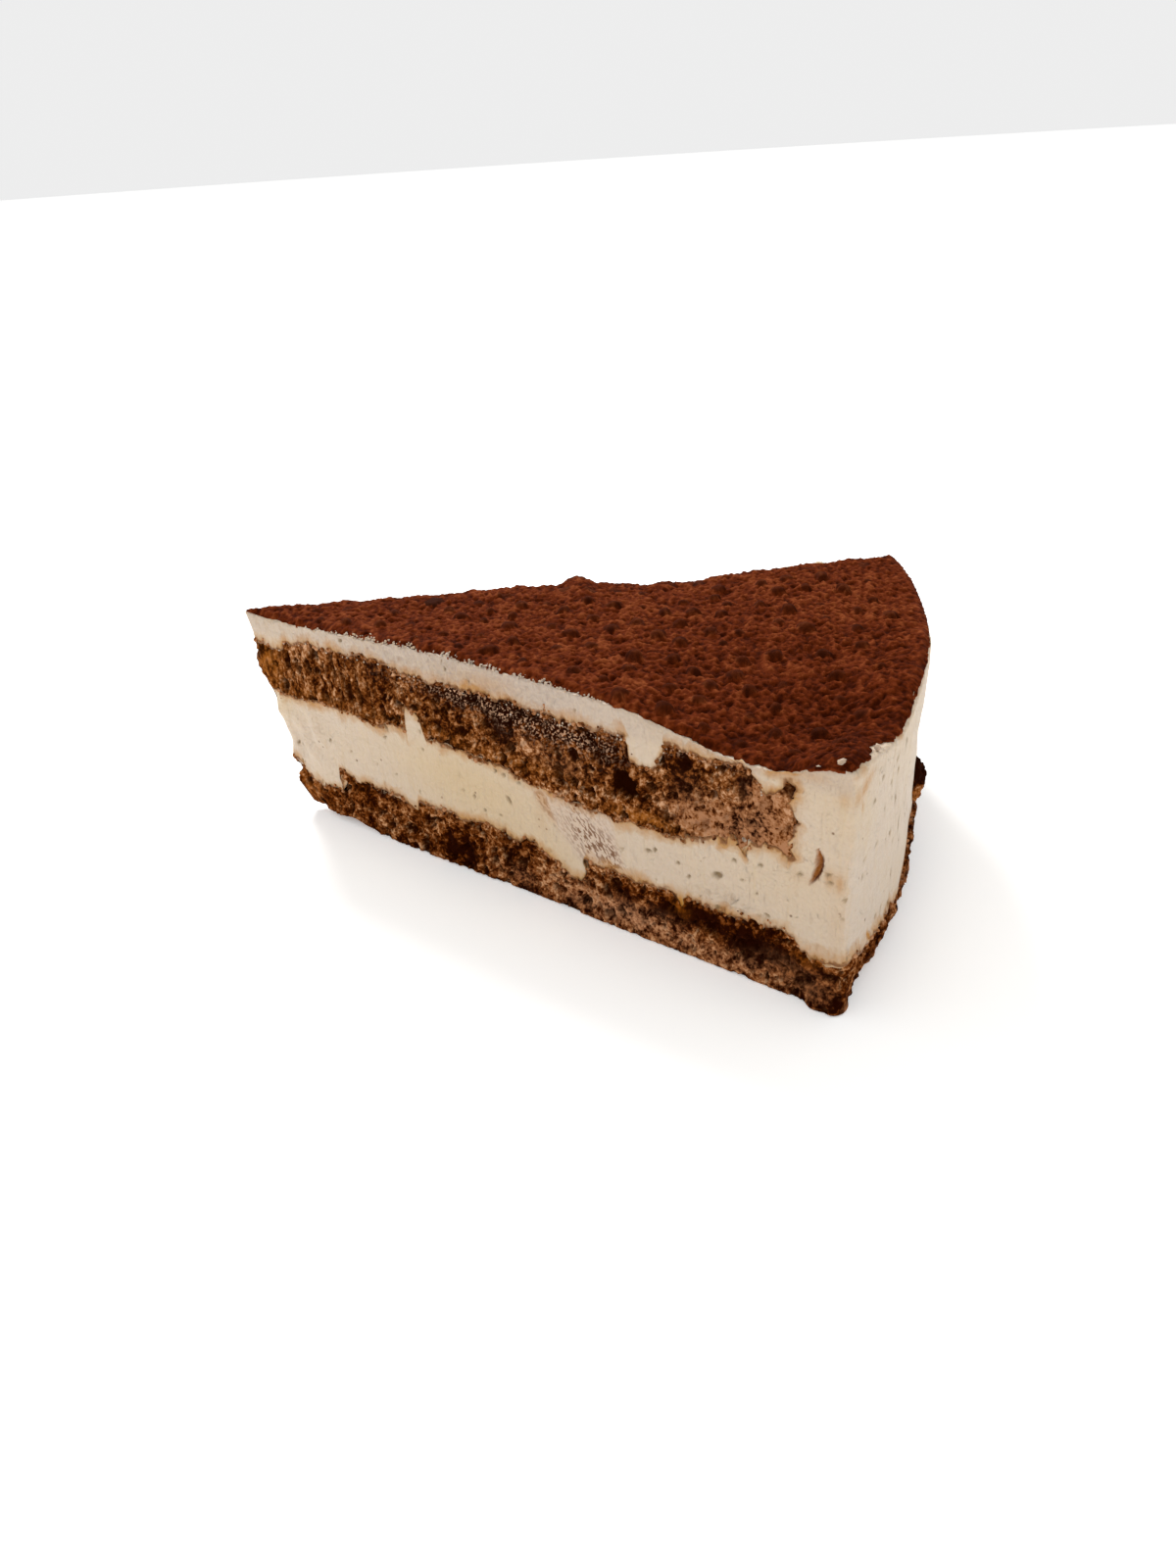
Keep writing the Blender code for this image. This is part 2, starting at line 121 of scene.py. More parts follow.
# Shape of the wedge, in millimetres. A place in plan is its distance from the tip and its turn
# across, from -1 at the near cut face to 1 at the far one
wedge = {
    "radius": 120.0,
    "angle": 41.5,
    "tipCut": 0.25,
    "nearStep": 0.22,  # between columns of points
    "rimStep": 0.3,
    "farStep": 0.42,
    "tipLean": 5.2,
    "originFromTip": 61.6,
    "baseLevel": 10.6,
    "upperLowLevel": 24.5,
    "upperHighLevel": 35.4,
    "creamLevel": 39.3,
    "pocketRadius": 111.3,  # where the upper sponge ends
    "waveLength": 22.0,
    "waveHeight": 0.5,
    "knifeWander": 0.5,
    "wanderSize": (24, 40),  # mm along the face and up it
    "tipReach": 12.0,
    "farHollow": (76, 14, 2.0),  # middle, spread, depth
    "rimDrape": 3.5,
    "cornerLip": -0.4,
    "cornerReach": 3.0,  # round the corners, where the wander of the faces fades
    "rimDips": [(-0.62, 0.34, 2.0), (0.4, 0.3, 0.7)],  # turn, half width, depth
    # height and inward distance of the tip's own bulges
    "tipShape": [
        (0.0, 2.2), (2.0, 2.0), (6.0, 0.4), (8.0, 1.5), (11.0, 0.9), (15.0, 1.6), (20.0, 0.8),
        (24.5, 0.7), (27.3, 0.0), (30.0, -1.3), (32.7, -0.3), (35.4, 0.0), (39.3, -0.7),
    ],
    # distance and height of the crumbled underside
    "underside": [(6.0, 5.2), (7.5, 3.8), (9.5, 2.1), (12.0, 1.2), (16.0, 1.0), (22.0, 2.0), (27.0, 0.0)],
    # rises and falls along a cut face: start, end, length of rise, length of fall, height
    "nearBaseTop": [
        (5.0, 18.2, 4.5, 0.8, -3.6), (17.4, 23.0, 0.8, 5.0, 0.9), (33.0, 38.6, 4.0, 0.7, -1.5),
        (58.0, 62.5, 2.5, 2.0, -1.0), (62.5, 75.2, 11.7, 0.8, -4.2), (91.5, 93.9, 1.1, 1.1, -2.0),
        (112.5, 122.0, 3.5, 2.0, -1.0),
    ],
    "nearUpperLow": [
        (26.0, 33.5, 3.5, 3.0, -0.7), (33.5, 38.0, 2.5, 0.7, 0.9), (37.7, 42.6, 0.9, 1.0, 4.4),
        (43.0, 109.0, 38.0, 18.0, -3.3), (97.0, 103.5, 2.5, 2.5, 1.0),
    ],
    "nearUpperHigh": [
        (-3.0, 9.5, 2.2, 1.8, -1.9), (9.0, 44.0, 6.0, 16.0, 0.6), (83.4, 91.0, 1.1, 2.4, -4.4),
        (105.0, 109.8, 1.3, 1.4, -2.5),
    ],
    "nearCreamTop": [
        (0.0, 24.0, 3.0, 10.0, -0.4), (22.0, 88.0, 26.0, 26.0, 1.0), (80.0, 118.0, 22.0, 10.0, -2.9),
    ],
    "farCreamTop": [(56.5, 64.0, 3.5, 2.5, 1.0), (60.0, 104.0, 12.0, 26.0, -1.2)],
    # ragged ends of the upper sponge that hang into the cream
    "fingers": [
        (99.2, 101.7, 1.0, 0.9, -1.2), (102.3, 105.0, 1.0, 1.0, -2.3), (105.6, 106.9, 0.6, 0.6, -0.6),
        (109.0, 112.6, 1.2, 1.0, -0.8),
    ],
    # height, and how far the end of the upper sponge stands out there
    "spongeEnd": [(21, -1.2), (24, 0.0), (27, -0.3), (29.5, 0.5), (32.6, -0.9), (35, 0.0), (36.5, 0.2)],
    # unevenness of each edge: width and height
    "baseFray": [(2.6, 0.3), (1.1, 0.3)],
    "upperLowFray": [(2.2, 0.3), (1.0, 0.3)],
    "upperHighFray": [(2.4, 0.3), (1.0, 0.3)],
    "topFray": [(3.0, 0.2), (0.7, 0.2)],
    "nearTopFray": [(1.1, 0.5), (0.5, 0.35)],
    # where cream hangs over the base at the corner, along the walk from the tip
    "drips": (112.8, 138),
    "dripFray": [(2.2, 1.6), (1.0, 1.0)],
    # drift of the walls along and up the face: height, size, seed
    "driftAlong": [(0.9, 2.6, 60), (0.45, 1.1, 61), (0.2, 0.6, 62)],
    "driftUp": [(0.7, 2.6, 70), (0.4, 1.1, 71), (0.2, 0.6, 72)],
}
halfAngle = math.radians(wedge["angle"]) / 2
radius = wedge["radius"]


def smooth(share):
    share = np.clip(share, 0, 1)
    return share * share * (3 - 2 * share)


# 1 between low and high, fading over soft on both sides
def between(value, low, high, soft):
    return smooth((value - low) / soft + 0.5) * smooth((high - value) / soft + 0.5)


# Noise at many points, with bumps about as wide as size
def noiseAt(points, size, seed=0.0):
    scaled = np.asarray(points, float) / size + seed
    return np.array([noise.noise(p) for p in scaled.reshape(-1, 3).tolist()]).reshape(scaled.shape[:-1])


# Distance to the nearest cell middle, as a share of the cell size
def cellsAt(points, size, seed=0.0):
    scaled = np.asarray(points, float) / size + seed
    return np.array([noise.voronoi(p)[0][0] for p in scaled.reshape(-1, 3).tolist()]).reshape(scaled.shape[:-1])


# Sum of noises, each a height, a size and a seed
def layered(points, noises):
    total = 0
    for height, size, seed in noises:
        total = total + height * noiseAt(points, size, seed)
    return total


def tipBack(z):
    return wedge["tipLean"] * (1 - z / wedge["creamLevel"])


def alongFace(distance, z):
    return tipBack(z) + distance * (1 - tipBack(z) / radius)


def relief(features, place):
    total = 0 * place
    for start, end, rise, fall, amount in features:
        total = total + amount * smooth((place - start) / rise) * smooth((end - place) / fall)
    return total


# Nicks and humps along the far face, the same as in the solids
def randomFeatures(seed, count, size):
    draw = random.Random(seed)
    made = []
    for i in range(count):
        start = 14 + 92 * (i + draw.uniform(0.1, 0.7)) / count
        end = start + draw.uniform(5, 10)
        made.append((start, end, draw.uniform(2, 4), draw.uniform(2, 4), draw.choice((-1, 0.7)) * size))
    return made


farBaseTop = randomFeatures(3, 7, 1.7)
farUpperLow = randomFeatures(5, 6, 1.8)
farUpperHigh = randomFeatures(8, 6, 1.5)


def boundary(level, near, far, seed, distance, turn):
    distance, turn = np.broadcast_arrays(np.asarray(distance, float), np.asarray(turn, float))
    place = alongFace(distance, level)
    across = turn * halfAngle * distance
    spots = np.stack([distance, across, 0 * across + seed * wedge["waveLength"]], -1)
    wave = wedge["waveHeight"] * noiseAt(spots, wedge["waveLength"])
    nearPart = relief(near, place) * smooth((0.15 - turn) / 1.15)
    farPart = relief(far, place) * smooth((turn - 0.1) / 0.9)
    return level + nearPart + farPart + wave


def underside(distance, turn):
    heights, sizes = zip(*wedge["underside"])
    return np.interp(alongFace(np.asarray(distance, float), 0), heights, sizes) + 0 * turn


def baseTop(distance, turn):
    drape = wedge["rimDrape"] * smooth((distance - 111.8) / 3.2) * smooth((0.1 - turn) / 0.6)
    return boundary(wedge["baseLevel"], wedge["nearBaseTop"], farBaseTop, 2.0, distance, turn) - drape


def upperLow(distance, turn):
    return boundary(wedge["upperLowLevel"], wedge["nearUpperLow"], farUpperLow, 5.0, distance, turn)


def upperHigh(distance, turn):
    return boundary(wedge["upperHighLevel"], wedge["nearUpperHigh"], farUpperHigh, 9.0, distance, turn)


def creamTop(distance, turn):
    top = boundary(wedge["creamLevel"], wedge["nearCreamTop"], wedge["farCreamTop"], 14.0, distance, turn)
    edge = smooth((distance - 98) / 20)
    for middle, halfWidth, depth in wedge["rimDips"]:
        top = top - depth * edge * smooth(1 - np.abs(turn - middle) / halfWidth)
    return top + wedge["cornerLip"] * smooth((distance - 114) / 5) * smooth((-turn - 0.75) / 0.25)


# Straight out of the near (-1) or far (1) cut face
def sideWay(side):
    return np.array([-math.sin(halfAngle), side * math.cos(halfAngle)])


# Points of the wedge at these distances, turns and heights. onNear and onFar are 1 on the cut
# faces, which wander a little as the knife did
def planPoints(distance, turn, z, onNear, onFar):
    distance, turn, z, onNear, onFar = np.broadcast_arrays(distance, turn, z, onNear, onFar)
    rim = np.stack([np.cos(turn * halfAngle), np.sin(turn * halfAngle)], -1) * radius
    tip = np.array([math.cos(halfAngle), -math.sin(halfAngle)]) * tipBack(z)[..., None]
    spot = tip + (rim - tip) * (distance / radius)[..., None]
    heights, sizes = zip(*wedge["tipShape"])
    spot[..., 0] += np.interp(z, heights, sizes) * (1 - smooth(distance / wedge["tipReach"]))
    along, up = wedge["wanderSize"]
    for side, share in ((-1, onNear), (1, onFar)):
        seen = np.stack([spot[..., 0] / along, 0 * z + 3 * side, z / up], -1)
        wander = wedge["knifeWander"] * share * noiseAt(seen, 1.0)
        spot = spot + wander[..., None] * sideWay(side)
    middle, spread, depth = wedge["farHollow"]
    hollow = onFar * depth * np.exp(-(((spot[..., 0] - middle) / spread) ** 2))
    spot = spot - hollow[..., None] * sideWay(1)
    spot[..., 0] -= wedge["originFromTip"]
    return np.concatenate([spot, z[..., None]], -1)


# Distances from the tip at about that step, with one exactly where the pocket of the cream ends
def distancesTo(rimDistance, step):
    start, pocket = wedge["tipCut"], wedge["pocketRadius"]
    found = np.linspace(start, pocket, int((pocket - start) / step))
    if rimDistance > pocket:
        found = np.concatenate([found, np.linspace(pocket, rimDistance, int((rimDistance - pocket) / step))[1:]])
    return found


# Columns of points round the wedge: along the near face, round the rim, back along the far
# face and across the tip, closer together where they show most
def roundTheWedge(rimDistance):
    whole = 2 * halfAngle * rimDistance
    near = [(d, -1.0, 1, 0) for d in distancesTo(rimDistance, wedge["nearStep"])[:-1]]
    rim = [(rimDistance, t, 0, 0) for t in np.linspace(-1, 1, int(whole / wedge["rimStep"]), endpoint=False)]
    far = [(d, 1.0, 0, 1) for d in distancesTo(rimDistance, wedge["farStep"])[:0:-1]]
    tip = [(wedge["tipCut"], t, 0.5, 0.5) for t in (1.0, 0.0)]
    columns = np.array(near + rim + far + tip)
    made = dict(zip(("distance", "turn", "onNear", "onFar"), columns.T))
    arc = (made["turn"] + 1) * halfAngle * rimDistance
    onRim = made["distance"] >= rimDistance
    for side, fromCorner in (("onNear", arc), ("onFar", whole - arc)):
        made[side] = np.where(onRim, 1 - smooth(fromCorner / wedge["cornerReach"]), made[side])
    made["rim"] = onRim.astype(float)
    turned = made["turn"] * halfAngle
    out = made["rim"][:, None] * np.stack([np.cos(turned), np.sin(turned)], -1)
    for side, share in ((-1, columns[:, 2]), (1, columns[:, 3])):
        out = out + share[:, None] * sideWay(side)
    out[columns[:, 2] == 0.5] = (-1, 0)
    made["out"] = out / np.linalg.norm(out, axis=1)[:, None]
    steps = np.hypot(*(np.roll(planXy(made), -1, axis=0) - planXy(made)).T)
    made["walk"] = np.concatenate([[0], np.cumsum(steps)[:-1]])  # mm round the wedge from the tip
    return made


def planXy(columns):
    turned = columns["turn"] * halfAngle
    return np.stack([columns["distance"] * np.cos(turned), columns["distance"] * np.sin(turned)], -1)


# Fine unevenness of a layer's edge, in mm, along the walk round the wedge
def ragged(walk, seed, sizes):
    spots = np.stack([walk, 0 * walk, 0 * walk], -1)
    return layered(spots, [(height, width, seed) for width, height in sizes])


# A skin collects rings of points and the faces between them
def newSkin():
    return {"points": [], "count": 0, "quads": [], "tris": []}


def addRing(skin, points):
    skin["points"].append(points.reshape(-1, 3))
    start = skin["count"]
    skin["count"] += points.size // 3
    return np.arange(start, skin["count"])


def bridge(skin, low, high, closed=True):
    if closed:
        low, high = np.append(low, low[0]), np.append(high, high[0])
    skin["quads"].append(np.stack([low[:-1], low[1:], high[1:], high[:-1]], -1))


def fan(skin, ring, middle, up):
    centre = addRing(skin, np.array([middle], float))[0]
    after = np.roll(ring, -1)
    first, second = (ring, after) if up else (after, ring)
    skin["tris"].append(np.stack([first, second, 0 * ring + centre], -1))


# Rings of a cover, as shares of the way out from its middle
coverShares = (0.97, 0.9)


# Closes a ring over the layer, through rings ever nearer its middle
def cover(skin, ring, shares, heightOf, up):
    edge = np.concatenate(skin["points"])[ring]
    middle = np.array([17.0, 0.0])
    for share in shares:
        spot = middle + share * (edge[:, :2] - middle)
        z = heightAt(heightOf, spot)
        inner = addRing(skin, np.concatenate([spot, z[:, None]], -1))
        bridge(skin, *((ring, inner) if up else (inner, ring)))
        ring = inner
    fan(skin, ring, (*middle, heightAt(heightOf, middle[None])[0]), up)


# The height of a layer boundary over a spot in plan
def heightAt(heightOf, spot):
    x, y = spot[:, 0] + wedge["originFromTip"], spot[:, 1]
    turn = np.clip(np.arctan2(y, x) / halfAngle, -1, 1)
    return heightOf(np.minimum(np.hypot(x, y), radius), turn)


# Puts a mesh in the scene; marks are numbers for each point, which the materials read
def placeMesh(name, mesh, marks, material, nodes=()):
    for mark, values in marks.items():
        mesh.attributes.new(mark, "FLOAT", "POINT").data.foreach_set("value", values.astype(np.float32))
    mesh.shade_smooth()
    mesh.materials.append(material)
    made = bpy.data.objects.new(name, mesh)
    bpy.context.scene.collection.objects.link(made)
    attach(made, "root")
    if nodes:
        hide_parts(*nodes)
    print(f"{name}: {len(mesh.vertices)} points, {len(mesh.loops) - 2 * len(mesh.polygons)} triangles")


# Makes the mesh of a skin, without the points that no face uses
def placeSkin(name, skin, marks, material, nodes):
    points, quads, tris = (np.concatenate(skin[kind]) for kind in ("points", "quads", "tris"))
    used = np.unique(np.concatenate([quads.ravel(), tris.ravel()]))
    fresh = np.zeros(len(points), int)
    fresh[used] = np.arange(len(used))
    mesh = bpy.data.meshes.new(name)
    mesh.from_pydata((points[used] * mm).tolist(), [], fresh[quads].tolist() + fresh[tris].tolist())
    usedMarks = {}
    for mark, values in marks.items():
        whole = np.zeros(len(points))
        whole[:values.size] = values.ravel()
        usedMarks[mark] = whole[used]
    placeMesh(name, mesh, usedMarks, material, nodes)


# Rounds the two upright corners of the rim, by averaging neighbouring columns near them
def roundCorners(grid, columns, reach, times):
    distance = columns["distance"]
    arc = (columns["turn"] + 1) * halfAngle * radius
    toEnd = np.minimum(arc, 2 * halfAngle * radius - arc)
    fromCorner = np.where(columns["rim"] > 0, toEnd, distance.max() - distance)
    share = smooth((reach - fromCorner) / reach)[None, :, None] * 0.5
    for _ in range(times):
        mean = (np.roll(grid, 1, axis=1) + np.roll(grid, -1, axis=1)) / 2
        grid = grid + share * (mean - grid)
    return grid


# Sum of soft round patches on a face, each a place along it and up it, half width, half height
# and strength
def patches(places, s, z):
    total = 0 * s
    for atS, atZ, wide, high, strength in places:
        total = total + strength * np.exp(-(((s - atS) / wide) ** 2) - ((z - atZ) / high) ** 2)
    return total


# Edges of the layers round the wedge, shared by the sponge and the cream on their two sides
columns = roundTheWedge(radius)


def makeEdges():
    distance, turn, walk = (columns[name] for name in ("distance", "turn", "walk"))
    drips = between(walk, *wedge["drips"], 2.5) * (2.2 - 1.3 * np.abs(ragged(walk, 8.0, wedge["dripFray"])))
    fingers = relief(wedge["fingers"], alongFace(distance, wedge["upperLowLevel"])) * (turn == -1)
    topFray = ragged(walk, 23.0, wedge["topFray"]) * (1 - 0.7 * columns["rim"])
    nearTopFray = ragged(walk, 27.0, wedge["nearTopFray"]) * between(walk, 30, 76, 12)
    base = baseTop(distance, turn) + ragged(walk, 3.0, wedge["baseFray"])
    return {
        "low": underside(distance, turn),
        "base": base + drips + 1.3 * between(walk, 116.5, 125, 4),
        "upperLow": upperLow(distance, turn) + ragged(walk, 11.0, wedge["upperLowFray"]) + fingers,
        "upperHigh": upperHigh(distance, turn) + ragged(walk, 17.0, wedge["upperHighFray"]),
        "top": creamTop(distance, turn) + topFray + nearTopFray,
    }


edges = makeEdges()


# The same edge without its steps, as a mean over a few millimetres of the walk
def calmed(columns, edge, reach=3.0):
    walk = columns["walk"]
    even = np.arange(-20, walk[-1] + 20, 0.25)
    whole = np.interp(even, walk, edge)
    kernel = np.hanning(int(4 * reach / 0.25) | 1)
    mean = np.convolve(whole, kernel / kernel.sum(), mode="same")
    return np.interp(walk, even, mean)


# Rows of points up the wall of a layer. Both layers that meet at an edge are shifted alike by
# the same small drift along the wall, so no edge stays straight
def wallPoints(columns, low, high, rowCount):
    distance, onNearFace = columns["distance"], columns["turn"] == -1
    share = np.linspace(0, 1, rowCount + 1)[:, None]
    calmLow, calmHigh = calmed(columns, low), calmed(columns, high)
    z = calmLow + share * (calmHigh - calmLow)
    z = z + (low - calmLow) * (1 - share) ** 4 + (high - calmHigh) * share ** 4
    grid = planPoints(distance, columns["turn"], z, columns["onNear"], columns["onFar"])
    tangent = np.stack([-columns["out"][:, 1], columns["out"][:, 0]], -1)
    fade = smooth((z - 0.8) / 1.6)
    # less of it by the finger of cream, and more at the upper sponge's end
    steps = between(distance, 33, 44, 3) * onNearFace
    along = layered(grid, wedge["driftAlong"]) * fade * smooth((distance - 1.5) / 5) * (1 - 0.7 * steps)
    spongeEnd = between(distance, 108, 114.5, 6) * (columns["rim"] == 0)
    rags = 0.9 * noiseAt(np.stack([0 * z, 0 * z + columns["turn"], z], -1), 1.6, 63.0)
    along = along + spongeEnd * (rags + np.interp(z, *zip(*wedge["spongeEnd"])) * onNearFace)
    upright = layered(grid, wedge["driftUp"])
    grid[..., :2] += along[..., None] * tangent
    grid[..., 2] += upright * fade * smooth((distance - 0.5) / 3)
    return grid, z, share + 0 * z


# Distance along the near face from where the tip would be if it didn't lean
def alongNear(grid):
    return (grid[..., 0] + wedge["originFromTip"]) * math.cos(halfAngle) - grid[..., 1] * math.sin(halfAngle)


def pushOut(grid, columns, amount):
    grid = grid.copy()
    grid[..., :2] += amount[..., None] * columns["out"]
    return grid


# Open crumb of sponge: large and small pores and the crumb between them. Near the tip the knife
# drew it out upright. Gives how far the face stands out and how deep in a pore each point is
def crumbRelief(grid, s, look):
    spots = grid.copy()
    spots[..., 2] *= 1 - 0.5 * smooth((look["drawnTo"] - s) / 12)
    spots += 0.5 * noiseAt(spots, 1.0, 44.0)[..., None]
    picked = smooth(noiseAt(grid, 3.0, 2.0) * 4 + 0.35)
    largePit = smooth((0.47 - cellsAt(spots, look["largePore"], 4.0)) / 0.12) * picked
    smallPit = smooth((0.42 - cellsAt(spots, look["smallPore"], 9.0)) / 0.16)
    crumb = layered(spots, [(0.5, 1.3, 6), (0.3, 0.65, 7)])
    out = look["crumbHeight"] * crumb - look["largeDepth"] * largePit - look["smallDepth"] * smallPit
    return out, np.clip(0.9 * largePit + 0.6 * smallPit, 0, 0.9)


# Soaked sponge base

baseLook = {
    "rows": 36,
    "largePore": 2.6,  # mm between large pores
    "smallPore": 1.1,
    "largeDepth": 0.9,
    "smallDepth": 0.35,
    "crumbHeight": 0.7,
    "drawnTo": 20,
    "roughness": 0.7,  # the same slow relief as the solid
    "proud": 0.2,
    "cornerDent": 0.55,  # mm less of it by the near corner
    "undercut": 1.8,
    "footBulge": 1.1,
    "floorGap": 0.02,
    "foot": (114.8, 119.5),  # along the near face
    "cornerRound": (3.6, 16),  # mm, times
    # places on the near face: along it, up it, half width, half height, strength
    "soaked": [
        (28, 9, 5, 1.6, 0.35), (45.5, 5, 1.3, 4.5, 0.7), (49.5, 4.5, 1.6, 4.0, 0.8), (58, 7, 4, 2.2, 0.4),
        (97, 7.6, 4.5, 2.2, 1.0), (104, 6.4, 5, 2.4, 1.0), (110.5, 6.0, 3, 2.2, 0.9), (89.3, 7.2, 2.6, 1.5, 0.85),
        (80, 8, 4, 1.2, 0.4), (13, 4, 3, 3, 0.3), (37, 3, 3, 2.5, 0.25), (117, 3.5, 4, 3.5, 0.5),
        (106, 3, 4, 1.5, 0.3),
    ],
    "pale": [
        (83, 3.2, 9, 2.4, 0.7), (72, 4, 6, 3, 0.35), (99, 2.2, 8, 1.6, 0.5), (112, 3, 6, 3, 0.3), (60, 3, 5, 2, 0.25),
    ],
    "syrup": [
        (8, 5, 5, 3, 0.8), (22, 9, 3, 2, 0.3), (92.6, 9.0, 1.5, 2.2, 1.0), (114.2, 7.6, 2.2, 1.0, 0.9),
        (112, 4, 5, 2, 0.3), (40, 9.5, 4, 1.4, 0.3),
    ],
}


# Wall of a sponge with its crumb, and how far it is to be pushed out
def spongeWall(columns, low, high, look, holes=()):
    grid, _, share = wallPoints(columns, low, high, look["rows"])
    s = alongNear(grid)
    slow = look["roughness"] * noiseAt(grid, 3.1) * (1 - np.abs(2 * share - 1) ** 4)
    fine, pore = crumbRelief(grid, s, look)
    inside = smooth(share / 0.06) * smooth((1 - share) / 0.06)
    out = slow + fine * (0.35 + 0.65 * inside)
    nearFace = columns["onNear"] * (columns["rim"] == 0) + 0 * s
    for atS, atZ, width, length, depth in holes:
        spread = 4 * ((s - atS) / width) ** 2 + 4 * ((grid[..., 2] - atZ) / length) ** 2
        spread = spread * (1 + 0.6 * noiseAt(grid, 1.2, 3.0))
        hole = np.sqrt(np.clip(1 - spread, 0, 1)) * nearFace
        lip = smooth(1 - np.abs(spread - 1.6) / 0.8) * nearFace
        out = np.where(hole > 0, -depth * hole, out * (1 - 0.7 * lip))
        # the holes are darkened like the pores, partly with painted shade
        pore = np.maximum(pore * (1 - 0.8 * lip), smooth(hole * 3.5))
    return grid, share, s, out, pore, nearFace


# A sponge as one skin: its wall, closed above and below
def spongeSkin(grid, topOf, bottomOf):
    skin = newSkin()
    rings = [addRing(skin, row) for row in grid]
    for below, above in zip(rings, rings[1:]):
        bridge(skin, below, above)
    cover(skin, rings[-1], coverShares, topOf, True)
    cover(skin, rings[0], coverShares, bottomOf, False)
    return skin


# Where grains of cream are caught in the crumb, next to the cream
def edgeGrains(grid, share):
    return 0.6 * smooth(1 - (1 - share) / 0.09) * smooth(0.2 + 1.8 * noiseAt(grid, 4.0, 77.0))


def makeBase(look, material):
    grid, share, s, out, pore, nearFace = spongeWall(columns, edges["low"], edges["base"], look)
    rim = columns["rim"] + 0 * s
    proud = look["proud"] - look["cornerDent"] * between(columns["turn"], -0.92, 0.25, 0.2)
    undercut = look["undercut"] * smooth(1 - share / 0.4) * smooth((columns["turn"] + 0.97) / 0.2)
    out = out + rim * proud * smooth((1 - share) / 0.25) - rim * undercut
    foot = between(s, *look["foot"], 1.6) * smooth((5 - grid[..., 2]) / 4)
    out = out + look["footBulge"] * nearFace * foot
    grid = roundCorners(pushOut(grid, columns, out), columns, *look["cornerRound"])
    grid[..., 2] = np.maximum(grid[..., 2], look["floorGap"])
    z = grid[..., 2]
    skin = spongeSkin(grid, baseTop, lambda d, t: np.maximum(underside(d, t), look["floorGap"]))
    wet = noiseAt(grid, 7.0, 5.0)
    marks = {
        # darkness of the pores: partly coffee, partly painted shade
        "pore": pore,
        "drawn": smooth((look["drawnTo"] - s) / 12) * nearFace,
        "soak": patches(look["soaked"], s, z) * nearFace + (1 - nearFace) * 0.35 + wet * 0.6,
        "pale": patches(look["pale"], s, z) * nearFace + (1 - nearFace) * smooth(wet * 2),
        "syrup": patches(look["syrup"], s, z) * nearFace + rim * smooth(0.2 + wet),
        "frost": 0.6 * edgeGrains(grid, share),
    }
    marks = {name: np.clip(values, 0, 1) for name, values in marks.items()}
    placeSkin("spongeBase", skin, marks, material, ["sponge_base"])


# Upper sponge

upperLook = {
    "rows": 36,
    "largePore": 2.4,
    "smallPore": 1.0,
    "largeDepth": 0.8,
    "smallDepth": 0.35,
    "crumbHeight": 0.6,
    "drawnTo": 34,
    "roughness": 0.7,
    "holes": [
        (83.4, 26.9, 4.1, 4.4, 2.0), (74.3, 29.7, 2.0, 2.2, 0.9), (84.3, 33.0, 1.3, 2.4, 0.9),
        (61.8, 31.2, 1.1, 4.2, 0.9), (77.5, 28.4, 1.6, 1.2, 0.6), (98.6, 30.0, 1.5, 1.2, 0.7),
        (103.2, 31.4, 1.2, 2.6, 0.7), (48.5, 31.6, 1.3, 1.6, 0.6),
    ],
    "soaked": [
        (45, 34.2, 8, 2.0, 0.6), (59, 32.0, 2.2, 4.6, 1.0), (54, 34.6, 7, 2.0, 0.8), (68, 33.6, 9, 2.2, 0.85),
        (77, 32.6, 5, 2.0, 0.7), (94, 32, 3, 2.4, 0.35), (73, 25.5, 3, 1.2, 0.25), (80, 23, 4, 0.9, 0.3),
        (25, 34, 8, 1.2, 0.3), (34, 30, 1.6, 3, 0.3), (92, 33.4, 3.0, 1.4, 0.4), (103.4, 32.4, 1.0, 2.4, 0.9),
        (98, 33, 3, 1.5, 0.3),
    ],
    "pale": [
        (100, 26.0, 6.5, 4.0, 0.75), (95, 25, 4.5, 2.0, 0.6), (108.5, 26, 3.5, 7, 0.85), (103, 22.2, 4, 1.6, 1.7),
        (110.5, 24, 1.5, 2, 1.3), (106.5, 32.0, 2.5, 2, 0.8), (72, 27, 5, 2, 0.25), (64, 29, 4, 2, 0.2),
    ],
    "syrup": [
        (3.5, 30, 3.5, 5, 0.9), (87, 22.3, 5.5, 1.1, 0.9), (62, 25.0, 12, 1.0, 0.4), (46, 26.0, 5, 1.0, 0.3),
        (33, 25.6, 8, 1.0, 0.3), (14, 25.6, 8, 1.5, 0.4),
    ],
    "frost": [(44, 34.6, 9, 1.3, 0.4), (56, 33.8, 8, 1.8, 0.55), (68, 33.0, 9, 2.2, 0.6), (77, 32.2, 6, 2.2, 0.45)],
}


